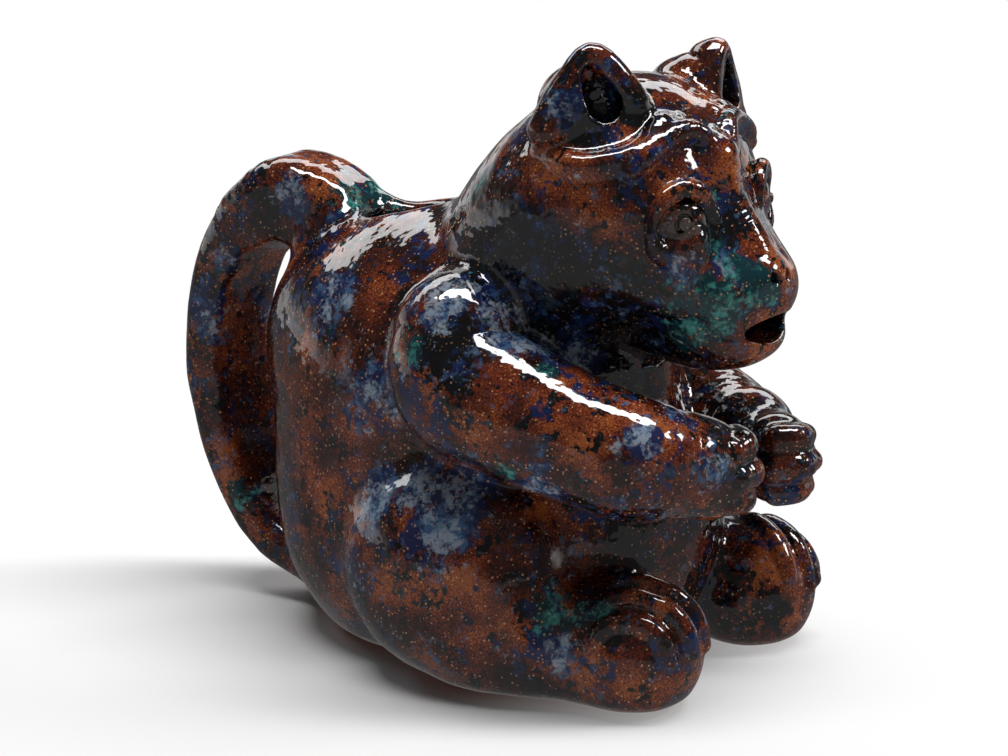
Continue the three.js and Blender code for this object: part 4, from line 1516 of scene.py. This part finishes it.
@dataclass
class Studio:
    """White floor, soft lamps and the camera.

    Attributes:
        target: Point that the camera looks at, in metres.
        azimuth: Degrees of the camera from straight ahead, towards the bear's left.
        elevation: Degrees of the camera above level.
        distance: Camera to target, in metres.
        focal_pixels: Focal length in pixels of the photograph.
        floor_white: The floor's colour.
        shadow_middle: Middle of the floor that shows the shadow.
        shadow_reach: Distances from there over which the floor turns to plain white.
        mirror_reach: Distances towards the camera over which the floor changes in the glaze.
        mirror_far: Brightness of the floor in the glaze behind the jug, where its shade lies.
        mirror_near: Brightness of the floor in the glaze before the jug.
        room: Brightness of the dim room.
        backdrop_reach: Heights over which the white backdrop behind the jug ends in the glaze.
        backdrop_turn: Cosines to the camera over which it gives way to the room.
        lamps: The lamps.
    """

    target: Vec = (0, -0.007, 0.075)
    azimuth: float = -59.0
    elevation: float = 14.5
    distance: float = 0.9
    focal_pixels: float = 3150.0
    floor_radius: float = 6.0
    floor_white: str = "#e6e6e6"
    shadow_middle: Vec = (-0.04, 0.07, 0.0)
    shadow_reach: tuple[float, float] = (0.09, 0.25)
    mirror_reach: tuple[float, float] = (-0.05, 0.1)
    mirror_far: float = 0.15
    mirror_near: float = 0.22
    room: float = 0.06
    backdrop_reach: tuple[float, float] = (-0.02, 0.25)
    backdrop_turn: tuple[float, float] = (-0.3, 0.2)
    lamps: tuple[Softbox, ...] = (
        Softbox("overhead strip", (0.07, -0.1, 1.15), (1.25, 0.24), 15.0),
        Softbox("far panel", (0.85, 0.74, 1.06), (2.6, 0.42), 12.5, along=(-0.66, 0.75, 0.0)),
        Softbox("right softbox", (0.7, -1.05, 0.95), (0.25, 0.42), 4.5),
    )

    def toward(self) -> Vector:
        """Returns the way from the jug to the camera."""
        return Vector(way_to(self.azimuth, self.elevation))

    def build(self) -> None:
        """Sets up the floor, lamps, world and camera."""
        self.floor()
        for lamp in self.lamps:
            self.hang(lamp)
        self.world()
        self.camera()

    def floor(self) -> None:
        """Lays a white floor that keeps the jug's shadow and fades into plain white away from it."""
        bpy.ops.mesh.primitive_circle_add(vertices=96, radius=self.floor_radius, fill_type="NGON")
        plane = bpy.context.object
        plane.name = "white_floor"
        paint = bpy.data.materials.new("white matt card")
        tree = cleared(paint)
        path = add_node(tree, "LightPath", {})
        place = add_node(tree, "TexCoord", {})["Object"]
        from_shadow = {0: place, 1: self.shadow_middle}
        away = add_node(tree, "VectorMath", from_shadow, operation="DISTANCE")["Value"]
        plain = ramp(tree, away, self.shadow_reach)
        share = add_node(tree, "Math", {0: path["Is Camera Ray"], 1: plain}, operation="MULTIPLY")[0]
        for ray in ("Is Glossy Ray", "Is Transmission Ray"):
            share = add_node(tree, "Math", {0: share, 1: path[ray]}, operation="MAXIMUM")[0]
        front = add_node(tree, "VectorMath", {0: place, 1: self.toward()}, operation="DOT_PRODUCT")["Value"]
        mirrored = ramp(tree, front, self.mirror_reach, (self.mirror_far, self.mirror_near))
        strength = add_node(tree, "Mix", {"Factor": path["Is Camera Ray"], 2: mirrored, 3: 1.0})[0]
        card = add_node(tree, "BsdfDiffuse", {"Color": linear(self.floor_white)})[0]
        white = add_node(tree, "Emission", {"Color": linear("#ffffff"), "Strength": strength})[0]
        both = add_node(tree, "MixShader", {0: share, 1: card, 2: white})[0]
        add_node(tree, "OutputMaterial", {"Surface": both})
        plane.data.materials.append(paint)

    def hang(self, lamp: Softbox) -> None:
        """Hangs one lamp so that it faces the jug, with its width along the way it is given."""
        light = bpy.data.lights.new(lamp.name, "AREA")
        light.shape = "RECTANGLE"
        light.size, light.size_y = lamp.size
        light.energy = lamp.power
        hung = bpy.data.objects.new(lamp.name, light)
        back = (Vector(lamp.place) - Vector(self.target)).normalized()
        up = back.cross(Vector(lamp.along)).normalized()
        turn = Matrix((up.cross(back), up, back)).transposed()
        hung.matrix_world = Matrix.Translation(lamp.place) @ turn.to_4x4()
        bpy.context.scene.collection.objects.link(hung)

    def world(self) -> None:
        """Surrounds the floor with a dim room behind a low white backdrop."""
        room = bpy.data.worlds.new("studio")
        bpy.context.scene.world = room
        tree = cleared(room)
        path = add_node(tree, "LightPath", {})
        way = add_node(tree, "TexCoord", {})["Generated"]
        height = add_node(tree, "SeparateXYZ", {0: way})["Z"]
        backdrop = ramp(tree, height, self.backdrop_reach, (1.0, self.room))
        front = add_node(tree, "VectorMath", {0: way, 1: self.toward()}, operation="DOT_PRODUCT")["Value"]
        facing = ramp(tree, front, self.backdrop_turn)
        backdrop = add_node(tree, "Mix", {"Factor": facing, 2: backdrop, 3: self.room})[0]
        strength: object = self.room
        shown = {"Is Glossy Ray": backdrop, "Is Transmission Ray": backdrop, "Is Camera Ray": 1.0}
        for ray, bright in shown.items():
            strength = add_node(tree, "Mix", {"Factor": path[ray], 2: strength, 3: bright})[0]
        sky = add_node(tree, "Background", {"Color": linear("#ffffff"), "Strength": strength})[0]
        add_node(tree, "OutputWorld", {"Surface": sky})

    def camera(self) -> None:
        """Sets the camera at the photograph's angle."""
        lens = bpy.data.cameras.new("camera")
        lens.sensor_fit = "HORIZONTAL"
        lens.sensor_width = 36.0
        lens.lens = self.focal_pixels / IMAGE_WIDTH * lens.sensor_width
        back = self.toward()
        made = bpy.data.objects.new("camera", lens)
        place = Vector(self.target) + back * self.distance
        made.matrix_world = Matrix.Translation(place) @ (-back).to_track_quat("-Z", "Y").to_matrix().to_4x4()
        bpy.context.scene.collection.objects.link(made)
        bpy.context.scene.camera = made


def jug() -> list[SubAssembly]:
    """Lists the jug's sub-assemblies.

    Returns:
        The sub-assemblies, in the order in which they were pressed on.
    """
    trunk = Trunk()
    head = Head(trunk)
    routes = {
        Side.RIGHT: ((68, 18, 0.01), (64, 1, 0.17), (35, -11, 0.83), (22, -14, 1)),
        Side.LEFT: ((78, 14, -0.1), (64, -12, 0.08), (38, -22, 0.55), (24, -20, 0.85)),
    }
    paws = {Side.RIGHT: (14.5, -16, 1.1), Side.LEFT: (13, -19, 1.2)}
    return [
        trunk,
        head,
        Ear(Side.RIGHT, head, at=(96, 57), facing=45),
        Ear(Side.LEFT, head, at=(82, 44), facing=10, breadth=0.8),
        *(Eye(side, head) for side in Side),
        Leg(Side.RIGHT, trunk),
        Leg(Side.LEFT, trunk, tuck=12, reach=54),
        *(Arm(side, trunk, routes[side], paws[side]) for side in Side),
        TailHandle(trunk),
    ]


def main() -> None:
    """Builds the jug's sub-assemblies in order, and then the studio."""
    logging.basicConfig(level=logging.INFO, format="%(message)s")
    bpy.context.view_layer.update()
    bpy.context.scene.view_settings.view_transform = "Standard"
    assemblies = jug()
    clay = Clay()
    for assembly in assemblies:
        clay.pieces += assembly.pieces()
        clay.cuts += assembly.cuts()
    glaze = MottledGlaze()
    finish = glaze.material()
    with ThreadPoolExecutor() as hands:
        skins = list(hands.map(clay.skin, clay.pieces))
    for piece, skin in zip(clay.pieces, skins):
        skin.layers.update(glaze.layers(skin.points))
        dress(piece, skin, finish)
    Studio().build()


if __name__ == "__main__":
    main()
